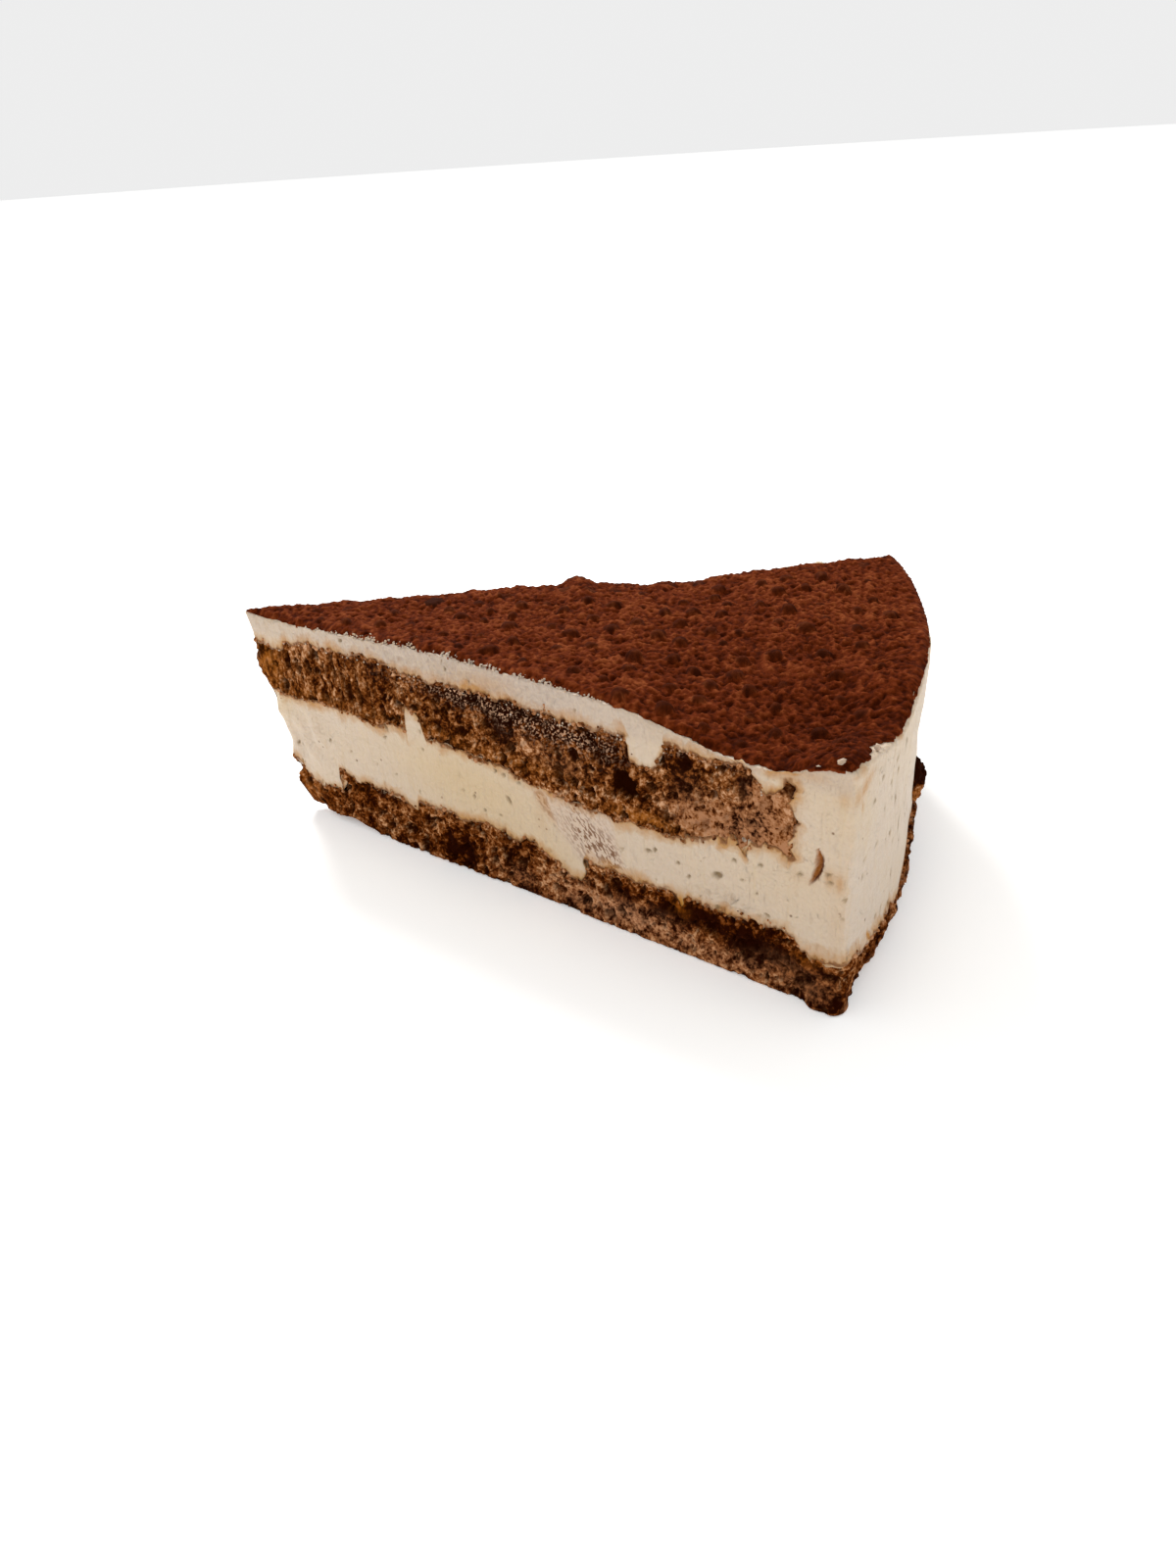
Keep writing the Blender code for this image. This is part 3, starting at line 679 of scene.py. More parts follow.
def makeUpper(look, material):
    inner = roundTheWedge(wedge["pocketRadius"])
    onFace = inner["rim"] == 0  # the rim side is hidden in the cream
    far = (inner["turn"] == 1) & onFace
    farSide = columns["onFar"] == 1
    order = np.argsort(columns["distance"][farSide])
    farDistance = columns["distance"][farSide][order]
    heights = []
    for name, heightOf in (("upperLow", upperLow), ("upperHigh", upperHigh)):
        values = np.interp(inner["walk"], columns["walk"], edges[name])
        values[far] = np.interp(inner["distance"][far], farDistance, edges[name][farSide][order])
        values[~onFace] = heightOf(inner["distance"], inner["turn"])[~onFace]
        heights.append(values)
    grid, share, s, out, pore, nearFace = spongeWall(inner, *heights, look, look["holes"])
    out = out * (1 - inner["rim"]) * (1 - 0.75 * smooth((inner["distance"] - 102) / 5))
    grid = pushOut(grid, inner, out)
    z = grid[..., 2]
    skin = spongeSkin(grid, lambda d, t: upperHigh(d, t) - 0.1, lambda d, t: upperLow(d, t) + 0.1)
    wet = noiseAt(grid, 6.0, 15.0)
    pale = np.clip(patches(look["pale"], s, z), 0, 1.7) * nearFace
    farSoak = smooth(share * 2 - 0.8) * 0.7
    farFrost = 0.35 * smooth(share * 3 - 1.6)
    soak = patches(look["soaked"], s, z) * nearFace + (1 - nearFace) * farSoak + wet * 0.5
    frost = patches(look["frost"], s, z) * nearFace + (1 - nearFace) * farFrost + edgeGrains(grid, share)
    marks = {
        # darkness of the pores: partly coffee, partly painted shade
        "pore": pore * (1 - 0.8 * pale.clip(0, 1)),
        "drawn": smooth((look["drawnTo"] - s) / 12) * nearFace,
        "soak": np.clip(soak, 0, 1),
        "pale": pale + (1 - nearFace) * smooth(wet * 2 - 0.2),
        "syrup": np.clip(patches(look["syrup"], s, z) * nearFace + (1 - nearFace) * 0.2, 0, 1),
        "frost": np.clip(frost, 0, 1),
    }
    placeSkin("spongeUpper", skin, marks, material, ["sponge_upper"])
    return grid


# Mascarpone cream: the middle layer, the top layer and the rim round the upper sponge

creamLook = {
    "rows": (40, 30, 12),  # middle layer, beside the sponge, top layer
    "swell": [(0.22, 9, 2), (0.10, 3, 5)],  # slow waves left by the spatula: height, size, seed
    "streaks": [(0.05, 1, 8), (0.03, 0.5, 9)],
    # height from which the top band of the near face gets painted shade and frost
    "shadeAndFrostFrom": 34.5,  # height
    "frosted": (26, 74),  # along the near face, where it is rough too
    "tipFolds": (12, 24),  # height
    "foldHeight": 0.8,
    "crackHeight": 0.7,
    "hang": (112.8, 142),  # along the walk from the tip
    "lipStain": (96, 152),
    "slit": (115.4, 23.6, 1.0, 6.4, 1.0),  # along, up, width, length, depth
    "pits": [  # and how far each leans, in degrees
        (99.3, 16.6, 2.0, 1.1, 0.6, 12), (59.9, 17.5, 0.8, 1.9, 0.5, 35), (57.5, 13.8, 0.7, 0.5, 0.2, 0),
        (106.5, 20.9, 1.1, 0.7, 0.3, 0), (102.2, 20.2, 0.8, 0.6, 0.3, 0), (87.4, 17.0, 1.4, 0.6, 0.4, 0),
        (92.6, 16.4, 0.7, 0.6, 0.3, 0), (107.6, 12.6, 1.2, 0.7, 0.3, -15), (110.8, 9.8, 1.0, 0.6, 0.3, 0),
        (112.6, 21.6, 1.0, 0.7, 0.3, 20), (94.4, 14.6, 0.7, 0.6, 0.3, 0),
    ],
    "topRound": 0.7,
    "cornerRound": (3.0, 16),  # mm, times
    "topShares": (0.992, 0.98, 0.96, 0.92, 0.87, 0.8, 0.72, 0.63, 0.53, 0.42, 0.3, 0.16),
    "seepReach": 3.0,  # mm
    "bubbleSpacing": 2.6,
    "bubbleDepth": 0.35,
    "smear": {"left": 65.0, "right": 80.5, "low": 10.8, "high": 21.6, "slant": 0.3},
    # places on the near face: along it, up it, half width, half height, strength
    "dragged": [  # where the crumbs of the smear are densest
        (66.3, 18.3, 1.5, 3.6, 0.9), (74.5, 15.5, 2.8, 4.2, 1.0), (78.5, 13.5, 2.0, 3.6, 0.9), (72, 16, 6, 6, 0.3),
    ],
    "cracks": [(98.4, 13.0, 5, 1.8, 1.0), (103.0, 12.6, 4, 1.6, 0.9), (108, 11.2, 3, 1.5, 0.6)],
    "stains": [
        (111.8, 27, 0.7, 6, 0.25), (92.8, 9.2, 1.2, 2.0, 1.2), (57, 37.4, 6, 1.8, 0.36),
        (107.5, 36.0, 3.2, 0.7, 0.12),
        (113.5, 37.2, 3, 0.8, 0.3), (117.0, 22.4, 0.8, 1.5, 0.5), (118.6, 22.0, 0.7, 1.6, 0.6),
        (118.6, 35.0, 1.0, 1.2, 0.3), (118.5, 15, 1.5, 5, 0.12), (1.5, 31.5, 3.5, 2.4, 0.75),
        (3, 25.6, 3.5, 1.0, 0.45), (66.5, 17.0, 1.2, 4.0, 0.15), (106.5, 36.3, 3.0, 1.0, 0.1),
        (111.5, 34.0, 1.6, 2.2, 0.25), (113.0, 21.0, 2.2, 1.0, 0.12),
    ],
    "yellow": [
        (56, 15, 20, 9, 0.5), (45, 20, 14, 5, 0.3), (4, 23, 5, 4, 0.5), (50, 38, 12, 1.5, 0.5),
        (66, 8.5, 8, 3, 0.4), (112, 20, 14, 9, 0.2),
    ],
    # the same on the rim, from the near corner round it
    "rimStains": [
        (0.6, 35.2, 1.0, 1.2, 0.45), (2.4, 35.6, 1.0, 1.3, 0.5), (3.8, 36.2, 1.1, 1.2, 0.5),
        (5.4, 36.9, 1.4, 1.0, 0.3), (2.4, 33.1, 0.4, 0.8, 0.7), (7.2, 9.4, 0.55, 0.85, 2.2),
    ],
    "rimDots": [
        (5.9, 32.2, 0.35, 0.4, 1.5), (18.7, 22.1, 0.3, 1.3, 1.2), (19.4, 34.9, 0.3, 0.8, 1.2),
        (24.2, 29.4, 0.35, 0.7, 1.2), (20.0, 18.0, 0.3, 1.0, 1.1), (17.0, 14.0, 0.3, 1.2, 1.0),
        (22.5, 24.0, 0.3, 1.2, 1.1), (16.0, 27.5, 0.3, 1.0, 1.0), (8.5, 24.0, 0.3, 0.4, 0.9),
        (11.0, 28.5, 0.3, 0.4, 0.8),
    ],
}


# The top of the cream, a little lower where the cocoa covers it
def underCocoa(distance, turn):
    toSide = (1 - np.abs(turn)) * halfAngle * distance
    return creamTop(distance, turn) - 0.7 * smooth((np.minimum(toSide, radius - 5 - distance) - 0.5) / 2.5)


# The cream as one skin, with the pocket that the upper sponge fills
def creamSkin(grid, look):
    skin = newSkin()
    rings = [addRing(skin, row) for row in grid]
    beside = np.nonzero(columns["distance"] >= wedge["pocketRadius"])[0]
    first, last = beside[0], beside[-1]
    low, high = look["rows"][0], sum(look["rows"][:2])
    for row, (below, above) in enumerate(zip(rings, rings[1:])):
        if low <= row < high:
            bridge(skin, below[beside], above[beside], closed=False)
        else:
            bridge(skin, below, above)
    turns = np.linspace(-1, 1, 14)[1:-1]
    back = []
    for row in range(low, high + 1):
        heights = np.linspace(grid[row, first, 2], grid[row, last, 2], 14)[1:-1]
        inner = planPoints(wedge["pocketRadius"], turns, heights, 0, 0)
        back.append(np.concatenate([[rings[row][first]], addRing(skin, inner), [rings[row][last]]]))
    for below, above in zip(back, back[1:]):
        bridge(skin, above, below, closed=False)
    around = np.concatenate([np.arange(last, len(columns["turn"])), np.arange(0, first + 1)])
    floor = np.concatenate([rings[low][around], back[0][1:-1]])
    ceiling = np.concatenate([rings[high][around], back[-1][1:-1]])
    cover(skin, floor, coverShares, upperLow, True)
    cover(skin, ceiling, coverShares, upperHigh, False)
    cover(skin, rings[-1], look["topShares"], underCocoa, True)
    cover(skin, rings[0], coverShares, baseTop, False)
    return skin


def makeCream(look, material):
    levels = [edges[name] for name in ("base", "upperLow", "upperHigh", "top")]
    bands = [wallPoints(columns, *band) for band in zip(levels, levels[1:], look["rows"])]
    grid, level = (np.concatenate([bands[0][i], bands[1][i][1:], bands[2][i][1:]]) for i in (0, 1))
    s = alongNear(grid)
    z = grid[..., 2]
    walk = columns["walk"]
    rim = columns["rim"] + 0 * s
    nearFace = columns["onNear"] * (columns["rim"] == 0) + 0 * s
    arc = (columns["turn"] + 1) * halfAngle * radius + 0 * s
    out = layered(grid, look["swell"]) + layered(grid / np.array([1, 1, 7.0]), look["streaks"])
    # painted shade: the top band of the near face is greyed, and where it is frosted it is rough too
    shadedTopBand = nearFace * smooth((z - look["shadeAndFrostFrom"]) / 2)
    frostAndTopShade = shadedTopBand * between(s, *look["frosted"], 12)
    out += frostAndTopShade * 0.35 * noiseAt(grid, 0.9, 4.0)
    bubble = smooth((0.17 - cellsAt(grid, look["bubbleSpacing"], 31.0)) / 0.06)
    bubble = bubble * smooth(noiseAt(grid, 6.0, 33.0) * 4 + 0.3)
    out -= look["bubbleDepth"] * bubble
    # folds at the tip, and cracks
    tipFolds = nearFace * smooth((22 - s) / 12) * between(z, *look["tipFolds"], 4)
    out += look["foldHeight"] * tipFolds * noiseAt(grid / np.array([1, 1, 1.6]), 2.4, 12.0)
    cracked = noiseAt(grid / np.array([1.6, 1.6, 0.8]), 0.9, 14.0)
    out += look["crackHeight"] * cracked * patches(look["cracks"], s, z) * nearFace
    # the crumbs that the knife dragged over the cream
    patch = look["smear"]
    shifted = s - (21 - z) * patch["slant"]
    smear = nearFace * between(shifted, patch["left"], patch["right"], 2.4)
    smear = smear * between(z, patch["low"], patch["high"], 1.2) * smooth((z + 1.1 * s - 90.8) / 2.5)
    turned = np.stack([s * 0.8 + z * 0.6, 0 * s, (z * 0.8 - s * 0.6) * 0.45], -1)
    out += smear * (0.15 * noiseAt(turned, 0.62, 3.0) + 0.12 * noiseAt(grid, 0.8, 6.0))
    # crescent slit and pits
    atS, atZ, width, length, depth = look["slit"]
    along = (z - atZ) / (length / 2)
    across = (s - atS - 0.17 * (z - atZ) + 0.9 * along ** 2) / (width / 2)
    slit = nearFace * np.sqrt(np.clip(1 - along ** 2, 0, 1))
    slit = slit * smooth(1.25 - 0.85 * np.abs(across) / np.clip(1.15 - along ** 2, 0.3, 1))
    out -= depth * slit
    # painted shade: bubbles and pits are darkened
    hole = 0.9 * bubble
    for atS, atZ, width, length, depth, lean in look["pits"]:
        c, k = math.cos(math.radians(lean)), math.sin(math.radians(lean))
        a, b = (s - atS) * c + (z - atZ) * k, (z - atZ) * c - (s - atS) * k
        pit = nearFace * smooth(1.3 - np.sqrt((2 * a / width) ** 2 + (2 * b / length) ** 2))
        out -= depth * pit
        hole = np.maximum(hole, pit)
    # the top edge is rounded on the rim, the bottom edge hangs over the base
    rounding = np.clip((edges["top"] - z) / look["topRound"], 0, 1)
    out -= rim * look["topRound"] * (1 - np.sqrt(np.clip(1 - (1 - rounding) ** 2, 0, 1)))
    out -= rim * 0.8 * smooth((columns["turn"] + 0.6) / 0.5) * between(z, 4, 31, 10)
    hang = between(walk, *look["hang"], 4) * smooth(1 - (z - edges["base"]) / 2.5)
    out += hang * (0.25 + 0.35 * noiseAt(grid, 1.4, 9.0))
    grid = roundCorners(pushOut(grid, columns, out), columns, *look["cornerRound"])

    # coffee drawn into the cream next to the sponge, and stains along the lip at the corner
    pastEnd = np.maximum(columns["distance"] - wedge["pocketRadius"], 0) + 99 * columns["rim"]
    outside = np.maximum(np.maximum(edges["upperLow"] - level, level - edges["upperHigh"]), 0)
    toSponge = np.minimum(level - edges["base"], np.hypot(outside, pastEnd))
    toLip = smooth(1 - (edges["top"] - level) / 1.4) * smooth(noiseAt(grid, 3.0, 41.0) * 2.5 + 0.25)
    stain = 0.4 * smear * between(shifted, 64.8, 68.0, 1.2) * smooth((z - 14.5) / 1.5)
    stain = stain + patches(look["stains"], s, z) * nearFace + patches(look["rimStains"], arc, z) * rim
    marks = {
        "seep": 1 - toSponge / look["seepReach"],
        "stain": stain + 0.6 * toLip * between(walk, *look["lipStain"], 6),
        "slit": smooth(slit * 1.6),
        # painted shade in the bubbles and pits, and the rim's dark dots
        "hole": hole + patches(look["rimDots"], arc, z) * rim,
        "slitShade": smooth(slit * 1.6) * smooth((across + 0.15) / 0.5),
        "smear": smear,
        "dragged": smear * np.clip(patches(look["dragged"], shifted, z), 0, 1),
        "yellow": np.clip(0.06 + patches(look["yellow"], s, z), 0, 1) * nearFace,
        # the top band's painted shade, with a little of the frosted patch
        "frostAndTopShade": 0.65 * shadedTopBand + 0.35 * frostAndTopShade,
    }
    marks = {name: np.clip(values, 0, 1) for name, values in marks.items()}
    placeSkin("mascarponeCream", creamSkin(grid, look), marks, material, ["cream"])
    return grid


# Cocoa dusting

cocoaLook = {
    "step": 0.26,  # mm between points
    "depth": 0.9,
    "inset": 0.4,
    "overhang": (113.8, 119.5),  # along the near face
    "hangDepth": 0.15,
    "sunk": 0.15,  # mm into the cream
    "coverShares": (0.97, 0.9, 0.78, 0.62, 0.42, 0.2),
    # how far the cocoa stops short of the rim: turn, mm
    "rimInset": [
        (-1.0, 1.0), (-0.96, 0.8), (-0.92, 0.6), (-0.88, 0.6), (-0.84, 1.5), (-0.79, 2.2), (-0.73, 1.8),
        (-0.69, 0.5), (-0.55, 0.3), (1.0, 0.4),
    ],
    # unevenness of the edge on the rim and along the cut faces: width and height
    "rimFray": [(4.0, 0.5), (1.6, 0.6), (0.7, 0.4)],
    "sideFray": [(3.0, 0.5), (1.2, 0.6), (0.6, 0.4)],
    # the powder's soft heaps and its grain: height, size, seed
    "slow": [(0.4, 4.0, 0), (0.3, 9.0, 0)],
    "grain": [(0.5, 1.5, 7), (0.9, 0.85, 8), (0.5, 0.55, 9)],
    "clumpSize": 1.7,
    "clumpHeight": 0.12,
    "foldHeight": 0.2,
    "fineFoldHeight": 0.14,
    "grainHeight": 0.38,
    "pitSpacing": 3.1,
    "pitDepth": 0.45,
    # place from the tip, and radius
    "setLumps": [
        (34, 7, 2.0), (59, 5, 1.4), (73, 1, 1.4), (76, -13, 1.6), (92, -15, 1.4), (97, 10, 1.5),
        (61, 15, 1.3), (83, 21, 1.4), (53, -15, 1.4), (89, -19, 1.3), (46, 11, 1.3), (104, -6, 1.3),
    ],
    "lumpCount": 104,
    "lumpRadius": (0.8, 1.5),
    "lumpSpacing": 4.6,
    "lumpClearance": {-1: 2.2, 1: 4.6},  # from the near and the far face
}


# The same places and sizes as the lumps in the solids
def lumpPlaces(look):
    draw = random.Random(11)
    found = [(x, y, size) for x, y, size in look["setLumps"]]
    while len(found) < look["lumpCount"]:
        reach = 0.95 * radius * math.sqrt(draw.random())
        turned = draw.uniform(-0.95, 0.95) * halfAngle
        x, y = reach * math.cos(turned), reach * math.sin(turned)
        clear = all(sideWay(side) @ (x, y) < -room for side, room in look["lumpClearance"].items())
        if clear and all(math.hypot(x - ox, y - oy) > look["lumpSpacing"] for ox, oy, _ in found):
            found.append((x, y, draw.uniform(*look["lumpRadius"])))
    shape = random.Random(12)
    made = []
    for x, y, size in found:
        flat, narrow, turned = shape.uniform(0.5, 0.65), shape.uniform(0.75, 1), shape.uniform(0, math.pi)
        made.append((x - wedge["originFromTip"], y, size, flat, narrow, turned))
    return made


# Rows of points over the cocoa, and how far each is from the edge
def cocoaRows(look):
    start = wedge["tipCut"] + look["inset"]
    rows, points, fromEdge = [], [], []
    for distance in np.linspace(start, radius, int((radius - start) / look["step"])):
        turn = np.linspace(-1, 1, max(4, round(2 * halfAngle * distance / look["step"])))
        nearSide = turn < 0
        toSide = (1 - np.abs(turn)) * halfAngle * distance
        fade = smooth((3 - toSide) / 3)
        rimFray = ragged(turn * halfAngle * radius + 200, 41.0, look["rimFray"])
        inset = np.interp(turn, *zip(*look["rimInset"])) + rimFray * (0.4 + 0.6 * smooth((-turn - 0.3) / 0.4))
        reach = distance - inset.clip(0.15, 6) * smooth((distance - 92) / 28)
        point = planPoints(reach, turn, creamTop(reach, turn), fade * nearSide, fade * (turn > 0))
        nearFray, farFray = ragged(distance + np.array([0, 400]), 51.0, look["sideFray"])
        side = (np.where(nearSide, nearFray, farFray) * fade).clip(-0.35, 0.9)
        pull = min(look["inset"], 0.4 * halfAngle * distance) + side * smooth((distance - 3) / 8)
        pull = np.abs(turn) * pull - (turn == -1) * 0.65 * between(distance, *look["overhang"], 2.5)
        point[:, :2] -= np.where(nearSide[:, None], sideWay(-1), sideWay(1)) * pull[:, None]
        rows.append(turn)
        points.append(point)
        fromEdge.append(np.minimum(toSide, radius - distance))
    return rows, np.concatenate(points), np.concatenate(fromEdge)


# Triangles between rows that have ever more points
def stitch(rows, starts):
    tris = []
    for low, high, a, b in zip(starts, starts[1:], rows, rows[1:]):
        p, q = 0, 0
        while p < len(a) - 1 or q < len(b) - 1:
            if q == len(b) - 1 or (p < len(a) - 1 and a[p + 1] <= b[q + 1]):
                tris.append((low + p, high + q, low + p + 1))
                p += 1
            else:
                tris.append((low + p, high + q, high + q + 1))
                q += 1
    return np.array(tris)


def makeCocoa(look, material):
    rows, points, fromEdge = cocoaRows(look)
    edgeFade = smooth(fromEdge)
    grainFade = 0.55 + 0.45 * smooth(fromEdge / 5)

    # powder lies in soft clumps with hollows between them, and finer grain over it
    bent = points + 0.7 * noiseAt(points, 1.5, 33.0)[:, None]
    clump = cellsAt(bent * np.array([1, 1, 0.2]), look["clumpSize"], 3.0)
    domes = np.sqrt(np.clip(1 - (clump / 0.8) ** 2, 0, 1)) * smooth(0.5 + 1.5 * noiseAt(points, 7.0, 5.0))
    folds = 1 - 3.2 * np.abs(noiseAt(bent, 1.9, 17.0))
    fineFolds = 1 - 3.2 * np.abs(noiseAt(bent, 1.0, 19.0))
    grain = layered(points, look["grain"])
    heap = look["depth"] * (0.85 + layered(points, look["slow"]))
    clumps = look["clumpHeight"] * domes + look["foldHeight"] * folds + look["fineFoldHeight"] * fineFolds
    heap = heap + (clumps + look["grainHeight"] * grain) * grainFade
    pits = smooth((0.2 - cellsAt(bent, look["pitSpacing"], 8.0)) / 0.1) * smooth(0.3 + 3 * noiseAt(points, 5.0, 21.0))
    heap -= look["pitDepth"] * pits

    lump = np.zeros(len(points))
    bumpy = 1.15 + 0.9 * noiseAt(points, 1.2, 13.0)
    biggest = max(size for _, _, size in look["setLumps"])
    for x, y, size, flat, narrow, turned in lumpPlaces(look):
        near = np.nonzero(np.abs(points[:, :2] - (x, y)).max(axis=1) < 1.4 * size)[0]
        dx, dy = points[near, 0] - x, points[near, 1] - y
        u = (dx * math.cos(turned) + dy * math.sin(turned)) / size
        v = (dy * math.cos(turned) - dx * math.sin(turned)) / (size * narrow)
        rest = (u * u + v * v) * bumpy[near]
        # lower by the far edge, where they would stand out against the background
        low = min(max((-sideWay(1) @ (x + wedge["originFromTip"], y) - 3) / 8, 0.35), 1)
        top = 0.5 + size * flat * low * (0.5 + 1.3 * np.sqrt(np.clip(1 - rest, 0, 1))) + 0.12 * grain[near]
        inside = rest < 1
        heap[near] = np.where(inside, np.maximum(heap[near], top), heap[near])
        lump[near] = np.where(inside, 1.6 if size == biggest else 1, lump[near])
    thick = (0.3 + 0.15 * grain) * (1 - edgeFade) + heap * edgeFade
    points[:, 2] += np.maximum(thick, 0.12 + 0.2 * edgeFade)

    starts = np.concatenate([[0], np.cumsum([len(row) for row in rows])])
    skin = newSkin()
    addRing(skin, points)
    skin["tris"].append(stitch(rows, starts))
    # a skirt round the edge, down into the cream, and a cover under the whole
    nearEdge = starts[:-1]
    rimEdge = np.arange(starts[-2] + 1, starts[-1])
    farEdge = (starts[1:-1] - 1)[::-1]
    tipEdge = np.arange(starts[1] - 2, starts[0], -1)
    border = np.concatenate([nearEdge, rimEdge, farEdge, tipEdge])
    drop = points[border].copy()
    onNearEdge = np.arange(len(border)) < len(nearEdge)
    fromTip = np.hypot(points[:, 0] + wedge["originFromTip"], points[:, 1])
    hang = onNearEdge * between(fromTip[border], *look["overhang"], 2.5)
    hang = look["hangDepth"] * hang * (0.7 + 0.6 * noiseAt(drop, 1.6, 4.0))
    drop[:, 2] = heightAt(creamTop, drop[:, :2]) - look["sunk"] - hang
    below = addRing(skin, drop)
    bridge(skin, below, border)
    cover(skin, below, look["coverShares"], lambda d, t: creamTop(d, t) - look["sunk"], False)
    # painted shade: darker in the hollows between the grain and folds, and in the pits
    hollow = 0.53 - 0.75 * grain - 0.18 * fineFolds - 0.15 * (domes - 0.5) + 0.7 * pits
    marks = {
        "hollow": np.clip(hollow, 0, 1.3),
        "lump": lump,
        # painted shade: the cocoa grows darker towards the front of the near corner
        "cornerShade": smooth((fromTip - 80) / 34) * smooth(0.35 - points[:, 1] / 26),
    }
    placeSkin("cocoaDusting", skin, marks, material, ["cocoa"])


# Baked sponge soaked in coffee: an open brown crumb, almost black where the coffee stands in it,
# with pores darkened partly by coffee and partly with painted shade, so they read as dark specks,
# and crumb walls that catch the light
spongeTones = {
    "base": {
        "name": "coffee soaked genoise, base",
        "stops": [(0.0, "#220700"), (0.25, "#421900"), (0.5, "#693612"), (0.75, "#925d34"), (1.0, "#c09068")],
        # the pore tone is partly coffee and partly painted shade
        "pore": "#1e0500", "pale": "#b58360", "syrup": "#87480f", "frost": "#c2a888",
        # size in mm, detail, roughness
        "patterns": {"even": (1.4, 3, 0.65), "fine": (0.5, 2, 0.6), "slow": (7, 1, 0.5), "grains": (0.42, 1, 0.5)},
    },
    "upper": {
        "name": "coffee dipped genoise, upper",
        "stops": [(0.0, "#200700"), (0.25, "#471e04"), (0.5, "#723f18"), (0.75, "#99663f"), (1.0, "#c79a76")],
        # the pore tone is partly coffee and partly painted shade
        "pore": "#200700", "pale": "#9e6e4d", "syrup": "#99591a", "frost": "#cb9f7e",
        "patterns": {"even": (1.3, 3, 0.65), "fine": (0.5, 2, 0.6), "slow": (7, 1, 0.5), "grains": (0.42, 1, 0.5)},
    },
}


def spongeMaterial(look):
    settings = {"IOR": 1.4, "Specular IOR Level": 0.01}
    marks = ("pore", "drawn", "soak", "pale", "syrup", "frost")
    made, tree, shader, read = newMaterial(look["name"], settings, marks, look["patterns"])
    fine = read["fine"]
    # where the knife drew the crumb out, the grain stands upright
    size, detail, rough = look["patterns"]["even"]
    spots = addNode(tree, "VectorMath", {0: read["coords"], 1: (1.1, 1.1, 0.5)}, operation="MULTIPLY")
    inputs = {"Vector": spots, "Scale": 1 / (size * mm), "Detail": detail, "Roughness": rough}
    upright = addNode(tree, "TexNoise", inputs)
    grain = addNode(tree, "Mix", {0: read["drawn"], 2: read["even"], 3: upright})
    tone = addNode(tree, "Math", {0: grain, 1: 0.65}, operation="MULTIPLY")
    tone = addNode(tree, "Math", {0: fine, 1: 0.35, 2: tone}, operation="MULTIPLY_ADD")
    tone = addNode(tree, "MapRange", {"Value": tone, "From Min": 0.38, "From Max": 0.62})
    slow = addNode(tree, "Math", {0: read["slow"], 1: 0.6, 2: -0.3}, operation="MULTIPLY_ADD")
    tone = addNode(tree, "Math", {0: tone, 1: slow}, operation="ADD")
    for mark, amount in (("soak", -0.75), ("pale", 0.22)):
        tone = addNode(tree, "Math", {0: read[mark], 1: amount, 2: tone}, operation="MULTIPLY_ADD")
    colour = addNode(tree, "ValToRGB", {"Fac": tone}, stops=look["stops"])
    # pale crumbs smeared with cream, brown syrup, then fine white grains of cream and the pores, dark with coffee and
    # painted shade
    crumbs = addNode(tree, "Mix", {0: 0.6, 2: fine, 3: grain})
    crumbs = addNode(tree, "MapRange", {"Value": crumbs, "From Min": 0.41, "From Max": 0.57})
    glaze = {"Value": grain, "From Min": 0.38, "From Max": 0.6, "To Min": 0.1, "To Max": 0.85}
    glaze = addNode(tree, "MapRange", glaze)
    grains = addNode(tree, "MapRange", {"Value": read["grains"], "From Min": 0.52, "From Max": 0.62})
    for mark, pattern in (("pale", crumbs), ("syrup", glaze), ("frost", grains), ("pore", None)):
        share = read[mark]
        if pattern:
            share = addNode(tree, "Math", {0: pattern, 1: share}, operation="MULTIPLY")
        mixed = {0: share, 6: colour, 7: hexToLinear(look[mark])}
        colour = addNode(tree, "Mix", mixed, data_type="RGBA")
    tree.links.new(colour, shader.inputs["Base Color"])
    wet = addNode(tree, "MapRange", {"Value": read["soak"], "To Min": 0.85, "To Max": 0.55})
    tree.links.new(wet, shader.inputs["Roughness"])
    softer = addNode(tree, "MapRange", {"Value": read["pale"], "To Min": 0.7, "To Max": 0.35})
    bump = addNode(tree, "Bump", {"Height": fine, "Strength": softer, "Distance": 0.35 * mm})
    tree.links.new(bump, shader.inputs["Normal"])
    return made


# Whipped mascarpone and cream: smooth, close and slightly moist, so light spreads a little way in
# it. The knife leaves upright streaks, and loose crumbs leave brown specks
creamTones = {
    "white": "#c1af9c",
    "yellow": "#c1a77e",
    "stain": "#a8732a",
    # the next tone is painted shade for bubbles and pits
    "soaked": "#64350d",
    "hole": "#867050",
    "slit": "#9c5c1e",
    "slitShade": "#3c1804",
    "speck": "#5e3c1c",
    "crumb": "#6c4424",
    "smear": "#c3ab9c",
    # the next tone greys the top band of the near face as painted shade, and its frost
    "frostAndTopShade": "#ab9a8d",
    "speckSpacing": 2.6,  # mm
    "streak": (0.8, 0.8, 9),  # mm, across and up
    "dragged": (1.1, 0.4, 0.4),
    "spread": 0.7,  # mm that light travels under the surface
    # size in mm, detail, roughness
    "patterns": {
        "cloud": (16, 2, 0.5), "fine": (0.45, 2, 0.5), "crumble": (0.9, 2, 0.5), "drift": (5, 1, 0.5),
        "ripple": (1.8, 2, 0.5),
    },
}


